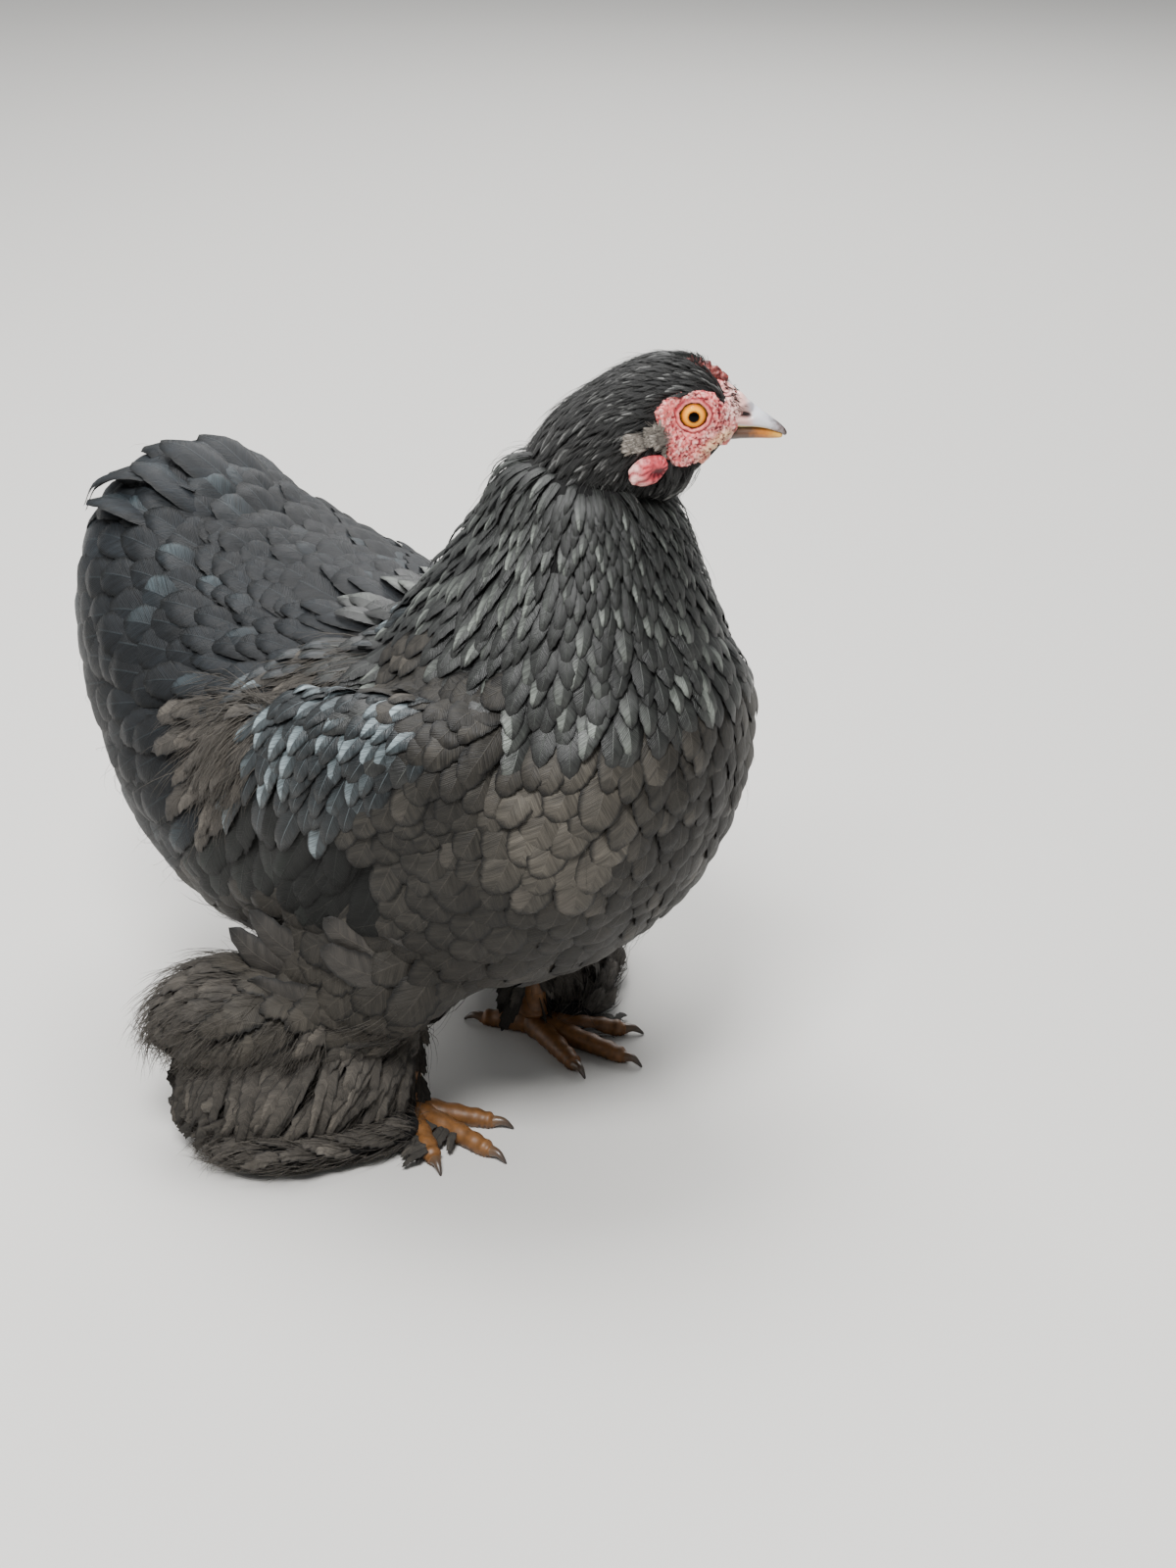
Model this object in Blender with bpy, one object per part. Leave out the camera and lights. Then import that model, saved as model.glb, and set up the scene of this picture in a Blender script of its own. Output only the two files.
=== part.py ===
"""Black Cochin bantam hen, life size, as a still museum model.

Metres, +Z up. The hen faces +X with her head turned to her left, and the origin is on the floor
under the middle of her bounding box. Tables hold millimetres, measured from the point on the
floor midway between her shanks, and every mesh is scaled and shifted as it is made.
"""

import math
import random

import bmesh
import bpy
from mathutils import Matrix, Vector

MM = 0.001
GAP = 0.3
# How far a form's rings crowd toward its two ends, and the last place a vane is laid to.
END_CROWDING = 0.11
LAST_RING = 0.93
BOX_MIDDLE = Vector((-35.0, 0.0, 0.0))

# Stations of a form, in order along it: centre x, y, z, half width, half height.
BODY = [
    (95, 0, 150, 0, 0),
    (92.5, 0, 149, 16, 18),
    (87, 0, 146, 33, 36),
    (78, 0, 141, 48, 49),
    (62, 0, 132, 61, 59),
    (38, 0, 121, 73, 65),
    (5, 0, 115, 81, 67),
    (-30, 0, 112, 83, 66),
    (-63, 0, 113, 82, 67),
    (-95, 0, 122.5, 74, 67),
    (-122, 0, 138.5, 61.5, 64),
    (-141, 0, 151, 48, 52),
    (-152, 0, 156, 36, 38.5),
    (-159, 0, 158, 23, 24),
    (-163, 0, 158, 12, 12),
    (-164.5, 0, 158, 0, 0),
]
# The neck's rings lie flat, so its last two numbers are half sizes along Y and along X.
NECK = [
    (25, 0, 126, 0, 0),
    (25, 0, 136, 49, 51),
    (27, 0, 152, 62, 64),
    (30, 0, 174, 57, 59),
    (35, 0, 198, 46, 47),
    (39, 0, 221, 35, 36),
    (39, -2, 234, 28, 29),
    (38, -4, 242, 19, 20),
    (38, -5, 246, 0, 0),
]
WING = [
    (52, 46, 160, 0, 0),
    (46, 52, 158, 11, 15),
    (30, 62, 152, 15, 25),
    (8, 69, 143, 16, 32),
    (-15, 71, 136, 16, 34),
    (-38, 70, 128, 14, 29),
    (-58, 66, 121, 10, 19),
    (-70, 62, 117, 6, 8),
    (-75, 60, 115, 0, 0),
]
THIGH = [
    (-6, 42, 96, 0, 0),
    (-6, 43, 88, 28, 33),
    (-8, 46, 72, 33, 41),
    (-9, 46, 56, 29, 37),
    (-7, 42, 44, 17, 23),
    (-5, 38, 38, 0, 0),
]
HOCK_FLUFF = [
    (4, 38, 37, 0, 0),
    (-1, 42, 38, 12, 12),
    (-14, 56, 44, 20, 20),
    (-32, 74, 48, 25, 22.5),
    (-48, 88, 48, 23, 21),
    (-59, 98, 47, 13, 12),
    (-63, 101, 47, 0, 0),
]
TOE_FLUFF = [
    (12, 42, 6, 0, 0),
    (4, 50, 7, 14, 7.4),
    (-10, 64, 8.4, 22, 8.8),
    (-25, 80, 9, 26, 9.4),
    (-37, 93, 7.6, 18, 7.8),
    (-42, 98, 7, 0, 0),
]
SHANK = [
    (-5, 36, 50, 0, 0),
    (-5, 36, 46, 5, 5.5),
    (-5, 36, 30, 4.6, 5.2),
    (-5, 36, 14, 5, 5.6),
    (-5, 36, 9, 5.5, 6),
    (-5, 36, 6, 0, 0),
]

# The head's own frame: its origin midway between the eyes, +x along the beak.
HEAD_PLACE = Vector((71, 12.5, 259))
HEAD_YAW = math.radians(38)
HEAD = [
    (15.8, 0, -0.5, 0, 0),
    (14.3, 0, -0.5, 5, 6),
    (10, 0, -3, 7.8, 11.5),
    (4, 0, -4, 10.8, 17),
    (-3, 0, -5.5, 12.6, 22),
    (-12, 0, -7, 14.3, 23.5),
    (-22, 1, -9.5, 16, 21.5),
    (-32, 4, -15, 16.5, 19),
    (-41, 8, -22, 15, 16),
    (-48, 12, -28, 10, 10.5),
    (-51, 14, -31, 0, 0),
]
BEAK_UPPER = [
    (10, 0, 0.5, 0, 0),
    (12, 0, 1, 5.2, 6.8),
    (16, 0, -0.2, 4.7, 5.2),
    (20, 0, -2, 4, 3.5),
    (24, 0, -4.2, 3, 2.5),
    (27, 0, -6.3, 1.9, 1.9),
    (28.8, 0, -8, 1, 1.1),
    (29.4, 0, -9, 0, 0),
]
BEAK_LOWER = [
    (8, 0, -7.8, 0, 0),
    (10, 0, -7.8, 4.2, 2.4),
    (16, 0, -7.8, 3.5, 2.3),
    (21, 0, -7.9, 2.7, 2.1),
    (26, 0, -8.7, 1.6, 1.5),
    (28.4, 0, -9.4, 0, 0),
]
NOSTRIL_PLACE = Vector((16.2, 5, -1.6))
NOSTRIL_SIZE = Vector((1.7, 1.3, 0.8))
EARLOBE = [
    (-8, 13, -14, 0, 0),
    (-9, 13.4, -14.3, 1.8, 2.6),
    (-13.5, 14.6, -16.3, 2.6, 4.4),
    (-18, 15.4, -18, 1.8, 2.8),
    (-19.2, 15.4, -18.4, 0, 0),
]
WATTLE = [
    (5, 5.5, -13, 0, 0),
    (4.6, 5.9, -14, 1.3, 2.6),
    (3.6, 6.6, -17.5, 1.6, 3.2),
    (2.8, 6.9, -21, 1.2, 2.4),
    (2.4, 6.9, -22.3, 0, 0),
]
COMB_POINTS = 5
COMB_FRONT = Vector((11, 0, 8.6))
COMB_REAR = Vector((-2.5, 0, 15.6))
COMB_HEIGHT = 2.2
COMB_POINT_RISE = 1.5
COMB_HALF_THICK = 1.2
EYE_PLACE = Vector((0, 7.6, 0))
EYE_RADIUS = 5.2
LID_RADIUS = 4.7
LID_THICK = 1.0
LID_OUT = 3.7

TAIL_CUT_X = -62.0
TAIL_CUT_LEAN = math.radians(18)

FOOT_X = -5.0
FOOT_Y = 36.0
# Each toe: name, heading in degrees outward from straight ahead, length.
TOES = [("inner", -24, 30), ("middle", 4, 38), ("outer", 34, 32), ("hind", 200, 18)]
# Along a toe: share of its length, height of its centre, its radius.
TOE_ROWS = [(0.0, 4.0, 4.4), (0.3, 3.5, 4.0), (0.6, 3.1, 3.6), (0.85, 2.7, 3.2), (1.0, 2.2, 2.6)]
# Along a claw: share of its length, rise, radius.
CLAW_ROWS = [(0.0, 0.0, 1.9), (0.5, 0.6, 1.4), (0.85, -0.9, 0.7)]
CLAW_LENGTH = 8.0
CLAW_DROP = 2.0

# Along a feather's vane: share of its length, share of its full width.
BROAD_VANE = [(0.0, 0.36), (0.34, 0.92), (0.78, 0.94), (1.0, 0.30)]
SHORT_VANE = [(0.0, 0.40), (0.60, 1.0), (1.0, 0.34)]
VANE_THICK = 1.0
VANE_EDGE_THICK = 0.55
VANE_CAMBER = 0.07
# How deep a vane's root lies in its form, and how far each vane leans over its neighbour.
ROOT_DEPTH = 4.0
VANE_LEAN = 0.2
SEED = 11

# Tiers of vanes. Each: place of the roots along the form, first and last angle in degrees,
# number of vanes, length, width, rise of the tips off the form.
TAIL_TIERS = [
    (-84, -12, 192, 9, 29, 36, 4.0),
    (-102, -24, 204, 9, 29, 37, 4.2),
    (-119, -20, 200, 8, 28, 35, 4.6),
    (-134, -32, 212, 7, 26, 32, 4.8),
]
# The short true tail feathers, which arch over the cushion's top and droop at the tips.
TAIL_FEATHERS = 5
TAIL_FEATHER_ROOT = Vector((-112, 0, 194))
TAIL_FEATHER_TIP = Vector((-162, 0, 187))
TAIL_FEATHER_SPREAD = 9.0
TAIL_FEATHER_BEND = 1.25
TAIL_FEATHER_WIDTH = 17.0
WING_TIERS = [
    (0.20, -48, 48, 4, 28, 19, 3.0),
    (0.37, -54, 54, 4, 28, 21, 3.2),
    (0.54, -54, 54, 4, 30, 21, 3.4),
    (0.70, -60, 60, 5, 38, 17, 3.4),
]
HOCK_TIERS = [
    (0.34, 0, 180, 3, 27, 26, 3.4),
    (0.54, -20, 200, 4, 27, 26, 3.6),
    (0.74, -15, 195, 4, 24, 24, 4.0),
]
FOOT_TIERS = [
    (0.34, 20, 160, 3, 27, 20, 1.4),
    (0.55, 15, 165, 3, 26, 20, 1.8),
    (0.75, 20, 160, 3, 25, 19, 2.4),
]
# The tuft over each ear: place along the head in its own x, and the rest as in a tier.
EAR_TUFT = (-7, -3, 14, 3, 10.5, 6, 0.7)
# Stiff feathers that sweep back and up from each hock: root, tip, bend, width.
STIFF_FEATHERS = [
    (Vector((2, 46, 42)), Vector((-48, 84, 74)), 0.7, 19),
    (Vector((-6, 50, 36)), Vector((-58, 92, 62)), 0.7, 19),
    (Vector((8, 42, 46)), Vector((-34, 80, 82)), 0.6, 18),
]

BLACK_FEATHER = ("black_feather", (0.012, 0.012, 0.014), 0.45)
RED_SKIN = ("red_skin", (0.55, 0.10, 0.09), 0.55)
HORN = ("horn", (0.45, 0.36, 0.24), 0.35)
EYE = ("eye", (0.75, 0.32, 0.04), 0.08)
TOE_SKIN = ("toe_skin", (0.42, 0.24, 0.09), 0.5)

# How to make each form's cutter, which is the same form, larger by the gap.
CUTTERS = {}


def clear_scene():
    for obj in list(bpy.data.objects):
        bpy.data.objects.remove(obj, do_unlink=True)


def material(kind):
    name, colour, roughness = kind
    made = bpy.data.materials.get(name)
    if made is None:
        made = bpy.data.materials.new(name)
        made.use_nodes = True
        shader = made.node_tree.nodes["Principled BSDF"]
        shader.inputs["Base Color"].default_value = (*colour, 1.0)
        shader.inputs["Roughness"].default_value = roughness
        shader.inputs["Metallic"].default_value = 0.0
        made.diffuse_color = (*colour, 1.0)
    return made


def new_object(name, work, kind):
    """Turns a bmesh in millimetres into a closed object in metres, with its faces outward."""
    bmesh.ops.recalc_face_normals(work, faces=work.faces)
    bmesh.ops.transform(
        work,
        matrix=Matrix.Scale(MM, 4) @ Matrix.Translation(-BOX_MIDDLE),
        verts=work.verts,
    )
    mesh = bpy.data.meshes.new(name)
    work.to_mesh(mesh)
    work.free()
    obj = bpy.data.objects.new(name, mesh)
    bpy.context.scene.collection.objects.link(obj)
    mesh.materials.append(material(kind))
    return obj


def curve_row(stations, t):
    """The station at t, from 0 to 1, on a Catmull-Rom curve through all of them."""
    spans = len(stations) - 1
    place = min(max(t, 0.0), 1.0) * spans
    i = min(int(place), spans - 1)
    u = place - i
    a = Vector(stations[max(i - 1, 0)])
    b = Vector(stations[i])
    c = Vector(stations[i + 1])
    d = Vector(stations[min(i + 2, spans)])
    curved = (b * 2 + (c - a) * u + (a * 2 - b * 5 + c * 4 - d) * u * u
              + (b * 3 - c * 3 + d - a) * u * u * u) * 0.5
    if i in (0, spans - 1):
        # A round end: the half sizes follow a parabola to the pole.
        share = u if i == 0 else 1 - u
        full = c if i == 0 else b
        for k in (3, 4):
            curved[k] = full[k] * math.sqrt(share)
    return curved


def mirrored(stations):
    return [(x, -y, z, w, h) for x, y, z, w, h in stations]


class Form:
    """A closed smooth body lofted through stations.

    Its rings are square to its centre line, or all square to the axis in fixed.
    """

    def __init__(self, stations, side=(0, 1, 0), frame=None, fixed=None):
        self.stations = stations
        self.side = Vector(side)
        self.frame = frame or Matrix.Identity(4)
        self.fixed = fixed and Vector(fixed)

    def axes(self, t):
        if self.fixed:
            return self.fixed, self.side, self.side.cross(self.fixed)
        step = 0.5 / (len(self.stations) - 1)
        ahead = curve_row(self.stations, t + step)
        behind = curve_row(self.stations, t - step)
        along = (Vector(ahead[:3]) - Vector(behind[:3])).normalized()
        across = (self.side - along * self.side.dot(along)).normalized()
        return along, across, across.cross(along)

    def point(self, t, angle, lift=0.0):
        row = curve_row(self.stations, t)
        _, across, up = self.axes(t)
        wide = (row[3] + lift) * math.cos(angle)
        high = (row[4] + lift) * math.sin(angle)
        return self.frame @ (Vector(row[:3]) + across * wide + up * high)

    def pole(self, t, lift):
        """The end point of the form, moved out along the centre line by the lift."""
        along = self.axes(t)[0]
        return self.frame @ (Vector(curve_row(self.stations, t)[:3]) + along * lift)

    def tangent(self, t, angle):
        step = 0.004
        return (self.point(t + step, angle) - self.point(t - step, angle)).normalized()

    def normal(self, t, angle):
        """The way out of the form at a point of its surface."""
        step = 0.02
        round_it = self.point(t, angle + step) - self.point(t, angle - step)
        out = self.tangent(t, angle).cross(round_it).normalized()
        middle = self.frame @ Vector(curve_row(self.stations, t)[:3])
        return out if out.dot(self.point(t, angle) - middle) > 0 else -out

    def find_x(self, x):
        """The place t where the centre line reaches x, on a form whose x falls."""
        low, high = 0.0, 1.0
        for _ in range(30):
            middle = (low + high) / 2
            if curve_row(self.stations, middle)[0] > x:
                low = middle
            else:
                high = middle
        return low

    def mesh(self, rings, sides, lift=0.0):
        work = bmesh.new()
        loops = []
        for i in range(1, rings):
            t = i / rings - END_CROWDING * math.sin(math.tau * i / rings)
            loops.append([
                work.verts.new(self.point(t, math.tau * j / sides, lift)) for j in range(sides)
            ])
        for first, second in zip(loops, loops[1:]):
            for j in range(sides):
                k = (j + 1) % sides
                work.faces.new((first[j], second[j], second[k], first[k]))
        for loop, end in ((loops[0], self.pole(0.0, -lift)), (loops[-1], self.pole(1.0, lift))):
            pole = work.verts.new(end)
            for j in range(sides):
                work.faces.new((loop[j], loop[(j + 1) % sides], pole))
        bmesh.ops.triangulate(work, faces=work.faces)
        return work

    def build(self, name, rings, sides, kind=BLACK_FEATHER):
        """The object of this form. It remembers how to make its own cutter."""
        obj = new_object(name, self.mesh(rings, sides), kind)
        CUTTERS[name] = lambda: new_object(name + "_cutter", self.mesh(rings, sides, GAP), kind)
        return obj


def vane(root, tip, out, bend, width, shape=BROAD_VANE):
    """One feather's vane: a thin cambered blade that arcs from root to tip.

    Its arc turns by the angle bend, away from the direction out, and both its faces are
    split into the same triangles.
    """
    chord = tip - root
    along = chord.normalized()
    up = (out - along * out.dot(along)).normalized()
    side = along.cross(up)
    half = bend / 2
    ahead = along * math.cos(half) + up * math.sin(half)
    lift = up * math.cos(half) - along * math.sin(half)
    radius = chord.length / (2 * math.sin(half)) if abs(half) > 0.01 else 0.0
    work = bmesh.new()
    rows = []
    for share, wide in shape:
        turn = bend * share
        if radius:
            place = root + ahead * radius * math.sin(turn) - lift * radius * (1 - math.cos(turn))
        else:
            place = root + chord * share
        normal = lift * math.cos(turn) + ahead * math.sin(turn)
        reach = side * width * wide / 2
        drop = normal * width * wide * VANE_CAMBER
        row = []
        for middle, thick in (
            (place + reach - drop, VANE_EDGE_THICK),
            (place, VANE_THICK),
            (place - reach - drop, VANE_EDGE_THICK),
        ):
            row.append(work.verts.new(middle + normal * thick / 2))
            row.append(work.verts.new(middle - normal * thick / 2))
        rows.append(row)
    for first, second in zip(rows, rows[1:]):
        for a, b in ((0, 2), (2, 4)):
            for face in (0, 1):
                work.faces.new((first[a + face], second[a + face], second[b + face]))
                work.faces.new((first[a + face], second[b + face], first[b + face]))
        for edge in (0, 4):
            work.faces.new((first[edge], second[edge], second[edge + 1]))
            work.faces.new((first[edge], second[edge + 1], first[edge + 1]))
    for row in (rows[0], rows[-1]):
        for a in (0, 2):
            work.faces.new((row[a], row[a + 1], row[a + 3]))
            work.faces.new((row[a], row[a + 3], row[a + 2]))
    return new_object("vane", work, BLACK_FEATHER)


def lay_vane(form, t, angle, length, width, rise, shape, draw):
    """A vane that lies along the form from t onwards, its root sunk and its tip standing off."""
    step = 0.01
    root = form.point(t, angle, -ROOT_DEPTH)
    start_along = form.tangent(t, angle)
    start_out = form.normal(t, angle)
    end = t
    run = 0.0
    last = form.point(t, angle)
    while run < length and end < LAST_RING:
        end += step
        here = form.point(end, angle)
        run += (here - last).length
        last = here
    end_along = form.tangent(end, angle)
    end_out = form.normal(end, angle)
    beyond = max(0.0, length - run)
    tip = last + end_along * beyond + end_out * rise
    bend = start_along.angle(end_along)
    if end_along.dot(start_out) > 0:
        bend = -bend
    side = start_along.cross(start_out)
    out = (start_out + end_out).normalized() + side * VANE_LEAN
    tip += side * draw.uniform(-0.05, 0.05) * length
    return vane(root, tip, out, bend, width * draw.uniform(0.95, 1.05), shape)


def tier(form, row, draw, sign=1, shape=BROAD_VANE):
    """A row of vanes side by side round the form."""
    t, first, last, count, length, width, rise = row
    vanes = []
    for i in range(count):
        share = i / (count - 1)
        angle = math.radians(first + (last - first) * share)
        if sign < 0:
            angle = math.pi - angle
        own_length = length * draw.uniform(0.94, 1.06)
        own_place = t + draw.uniform(-0.005, 0.005)
        vanes.append(lay_vane(form, own_place, angle, own_length, width, rise, shape, draw))
    return vanes


def apply_modifiers(obj):
    graph = bpy.context.evaluated_depsgraph_get()
    mesh = bpy.data.meshes.new_from_object(obj.evaluated_get(graph))
    old = obj.data
    obj.modifiers.clear()
    obj.data = mesh
    bpy.data.meshes.remove(old)


def keep_largest(obj):
    """Leaves only the closed surface of most volume, so that a cut's scraps are dropped."""
    work = bmesh.new()
    work.from_mesh(obj.data)
    left = set(work.faces)
    groups = []
    while left:
        group = {left.pop()}
        front = list(group)
        while front:
            face = front.pop()
            for edge in face.edges:
                for other in edge.link_faces:
                    if other in left:
                        left.discard(other)
                        group.add(other)
                        front.append(other)
        volume = sum(
            f.calc_center_median().dot(f.normal) * f.calc_area() for f in group
        )
        groups.append((volume, group))
    groups.sort(key=lambda pair: pair[0])
    for _, group in groups[:-1]:
        bmesh.ops.delete(work, geom=list(group), context="FACES")
    work.to_mesh(obj.data)
    work.free()


def boolean(obj, other, operation, solver="EXACT"):
    modifier = obj.modifiers.new(operation.title(), "BOOLEAN")
    modifier.operation = operation
    modifier.solver = solver
    modifier.object = other
    apply_modifiers(obj)


def carve(obj, *names):
    """Cuts each named neighbour out of obj, with the gap, and drops loose scraps."""
    for name in names:
        cutter = CUTTERS[name]()
        boolean(obj, cutter, "DIFFERENCE")
        bpy.data.objects.remove(cutter, do_unlink=True)
    keep_largest(obj)


def block(name, low, high):
    """A plain box between two corners, for cutting with."""
    work = bmesh.new()
    bmesh.ops.create_cube(work, size=1.0)
    size = Vector(high) - Vector(low)
    middle = (Vector(high) + Vector(low)) / 2
    for vertex in work.verts:
        vertex.co = middle + Vector(a * b for a, b in zip(vertex.co, size))
    return new_object(name, work, BLACK_FEATHER)


def trim_to_floor(obj):
    """Cuts off what lies under the floor, which leaves flats to stand on."""
    floor = block("floor_cutter", (-400, -400, -60), (400, 400, 0))
    boolean(obj, floor, "DIFFERENCE")
    bpy.data.objects.remove(floor, do_unlink=True)
    keep_largest(obj)


def body_and_tail():
    """The rounded body, parted by a leaning cut into the torso and the tail with its cushion."""
    body = Form(BODY, fixed=(-1, 0, 0))
    torso = body.build("torso", 26, 24)
    tail = body.build("tail", 26, 24)
    for obj, near, far in ((torso, -300.0, GAP / 2), (tail, -GAP / 2, 300.0)):
        work = bmesh.new()
        bmesh.ops.create_cube(work, size=1.0)
        for vertex in work.verts:
            vertex.co.x = near if vertex.co.x < 0 else far
            vertex.co.y *= 400
            vertex.co.z *= 600
        lean = Matrix.Translation((TAIL_CUT_X, 0, 140)) @ Matrix.Rotation(
            TAIL_CUT_LEAN, 4, "Y"
        )
        bmesh.ops.transform(work, matrix=lean, verts=work.verts)
        cutter = new_object("cut_cutter", work, BLACK_FEATHER)
        boolean(obj, cutter, "DIFFERENCE")
        bpy.data.objects.remove(cutter, do_unlink=True)
        keep_largest(obj)
    return body, tail


def tail_vanes(body, draw):
    vanes = []
    for x, *row in TAIL_TIERS:
        vanes += tier(body, (body.find_x(x), *row), draw, 1, SHORT_VANE)
    for i in range(TAIL_FEATHERS):
        place = i - (TAIL_FEATHERS - 1) / 2
        aside = Vector((0, place * TAIL_FEATHER_SPREAD, -place * place * 1.6))
        root = TAIL_FEATHER_ROOT + aside * 0.7
        tip = TAIL_FEATHER_TIP + aside * 1.5 + Vector((draw.uniform(-2, 2), 0, 0))
        out = Vector((0, 0.12 * place, 1))
        vanes.append(vane(root, tip, out, TAIL_FEATHER_BEND, TAIL_FEATHER_WIDTH))
    return vanes


def head_frame():
    return Matrix.Translation(HEAD_PLACE) @ Matrix.Rotation(HEAD_YAW, 4, "Z")


def ball(name, frame, centre, size, kind, segments=12, rings=8):
    """A ball or egg, its poles along Y, with the half sizes given."""
    work = bmesh.new()
    bmesh.ops.create_uvsphere(work, u_segments=segments, v_segments=rings, radius=1.0)
    scale = Matrix.Diagonal((*size, 1.0))
    turn = frame @ Matrix.Translation(centre) @ scale @ Matrix.Rotation(math.pi / 2, 4, "X")
    bmesh.ops.transform(work, matrix=turn, verts=work.verts)
    return new_object(name, work, kind)


def lid_ring(centre, sign, frame, segments=12, sides=5):
    """The bare ring of both lids round an eye, standing a little proud of the face."""
    work = bmesh.new()
    loops = []
    for i in range(segments):
        turn = math.tau * i / segments
        out = Vector((math.cos(turn), 0, math.sin(turn)))
        middle = centre + out * LID_RADIUS + Vector((0, sign * LID_OUT, 0))
        loop = []
        for j in range(sides):
            angle = math.tau * j / sides
            offset = out * math.cos(angle) + Vector((0, sign, 0)) * math.sin(angle)
            loop.append(work.verts.new(frame @ (middle + offset * LID_THICK)))
        loops.append(loop)
    for i in range(segments):
        first, second = loops[i], loops[(i + 1) % segments]
        for j in range(sides):
            k = (j + 1) % sides
            work.faces.new((first[j], first[k], second[k], second[j]))
    bmesh.ops.triangulate(work, faces=work.faces)
    return new_object("lid", work, RED_SKIN)


def comb(frame):
    """A low single comb up the forehead, its upper edge cut into rounded points."""
    work = bmesh.new()
    steps = COMB_POINTS * 3
    loops = []
    for i in range(steps + 1):
        t = i / steps
        base = COMB_FRONT.lerp(COMB_REAR, t)
        wave = 0.5 - 0.5 * math.cos(math.tau * COMB_POINTS * t)
        rise = (COMB_HEIGHT + COMB_POINT_RISE * wave) * math.sin(math.pi * (0.08 + 0.84 * t))
        up = Vector((0.5, 0, 0.87))
        half = Vector((0, COMB_HALF_THICK, 0))
        low = base - up * 2.5
        high = base + up * rise
        corners = (low + half, high + half * 0.45, high - half * 0.45, low - half)
        loops.append([work.verts.new(frame @ p) for p in corners])
    for first, second in zip(loops, loops[1:]):
        for j in range(4):
            k = (j + 1) % 4
            work.faces.new((first[j], first[k], second[k], second[j]))
    work.faces.new(loops[0])
    work.faces.new(reversed(loops[-1]))
    bmesh.ops.triangulate(work, faces=work.faces)
    return new_object("comb", work, RED_SKIN)


def join(obj, pieces):
    """Joins the pieces to obj by one Boolean union, and drops the pieces."""
    group = bpy.data.collections.new("pieces")
    for piece in pieces:
        for owner in list(piece.users_collection):
            owner.objects.unlink(piece)
        group.objects.link(piece)
    bpy.context.scene.collection.children.link(group)
    modifier = obj.modifiers.new("Union", "BOOLEAN")
    modifier.operation = "UNION"
    modifier.operand_type = "COLLECTION"
    modifier.collection = group
    modifier.solver = "MANIFOLD"
    apply_modifiers(obj)
    for piece in pieces:
        bpy.data.objects.remove(piece, do_unlink=True)
    bpy.data.collections.remove(group)
    keep_largest(obj)


def head_parts(draw):
    frame = head_frame()
    form = Form(HEAD, frame=frame, fixed=(-1, 0, 0))
    head = form.build("head", 17, 18)
    tuft_x, *tuft = EAR_TUFT
    lids = []
    eyes = []
    for label, sign in (("left", 1), ("right", -1)):
        place = Vector((EYE_PLACE.x, EYE_PLACE.y * sign, EYE_PLACE.z))
        lids.append(lid_ring(place, sign, frame))
        lids += tier(form, (form.find_x(tuft_x), *tuft), draw, sign, SHORT_VANE)
        eyes.append((f"eye_{label}", place))
    join(head, lids)
    for name, place in eyes:
        size = Vector((1, 1, 1))
        ball(name, frame, place, size * EYE_RADIUS, EYE)
        socket = ball("socket", frame, place, size * (EYE_RADIUS + GAP), EYE)
        boolean(head, socket, "DIFFERENCE")
        bpy.data.objects.remove(socket, do_unlink=True)
    carve(head, "neck", "torso")
    upper = Form(BEAK_UPPER, frame=frame).build("beak_upper", 9, 10, HORN)
    lower = Form(BEAK_LOWER, frame=frame).build("beak_lower", 8, 10, HORN)
    carve(upper, "head")
    carve(lower, "head", "beak_upper")
    for sign in (1, -1):
        place = Vector((NOSTRIL_PLACE.x, NOSTRIL_PLACE.y * sign, NOSTRIL_PLACE.z))
        hole = ball("nostril", frame, place, NOSTRIL_SIZE, HORN, 8, 5)
        boolean(upper, hole, "DIFFERENCE")
        bpy.data.objects.remove(hole, do_unlink=True)
    carve(comb(frame), "head", "beak_upper")
    for label, sign in (("left", 1), ("right", -1)):
        for name, rows in (("earlobe", EARLOBE), ("wattle", WATTLE)):
            side = rows if sign > 0 else mirrored(rows)
            piece = Form(side, frame=frame).build(f"{name}_{label}", 8, 10, RED_SKIN)
            carve(piece, "head", "neck", "beak_lower")


def toe_line(heading, length, sign):
    """The stations of a toe, from the foot's middle out, and the way it points."""
    turn = math.radians(heading)
    ahead = Vector((math.cos(turn), sign * math.sin(turn), 0))
    root = Vector((FOOT_X, sign * FOOT_Y, 0))
    rows = []
    for share, height, radius in TOE_ROWS:
        place = root + ahead * length * share
        rows.append((place.x, place.y, height, radius, radius))
    heel = root - ahead * TOE_ROWS[0][2] * 0.7
    tip = root + ahead * (length + TOE_ROWS[-1][2] * 0.9)
    start = (heel.x, heel.y, TOE_ROWS[0][1], 0, 0)
    end = (tip.x, tip.y, TOE_ROWS[-1][1] - 0.4, 0, 0)
    return [start] + rows + [end], ahead


def claw(name, rows, ahead, side, toe):
    """A curved claw that grows from the end of its toe."""
    tip = Vector(rows[-2][:3])
    stations = [(*(tip - ahead * 1.5), 0, 0)]
    for share, rise, radius in CLAW_ROWS:
        place = tip + ahead * CLAW_LENGTH * share
        stations.append((place.x, place.y, place.z + rise, radius, radius))
    end = tip + ahead * CLAW_LENGTH
    stations.append((end.x, end.y, end.z - CLAW_DROP, 0, 0))
    nail = Form(stations, side=side).build(name, 5, 5, HORN)
    carve(nail, toe)
    trim_to_floor(nail)


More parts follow.
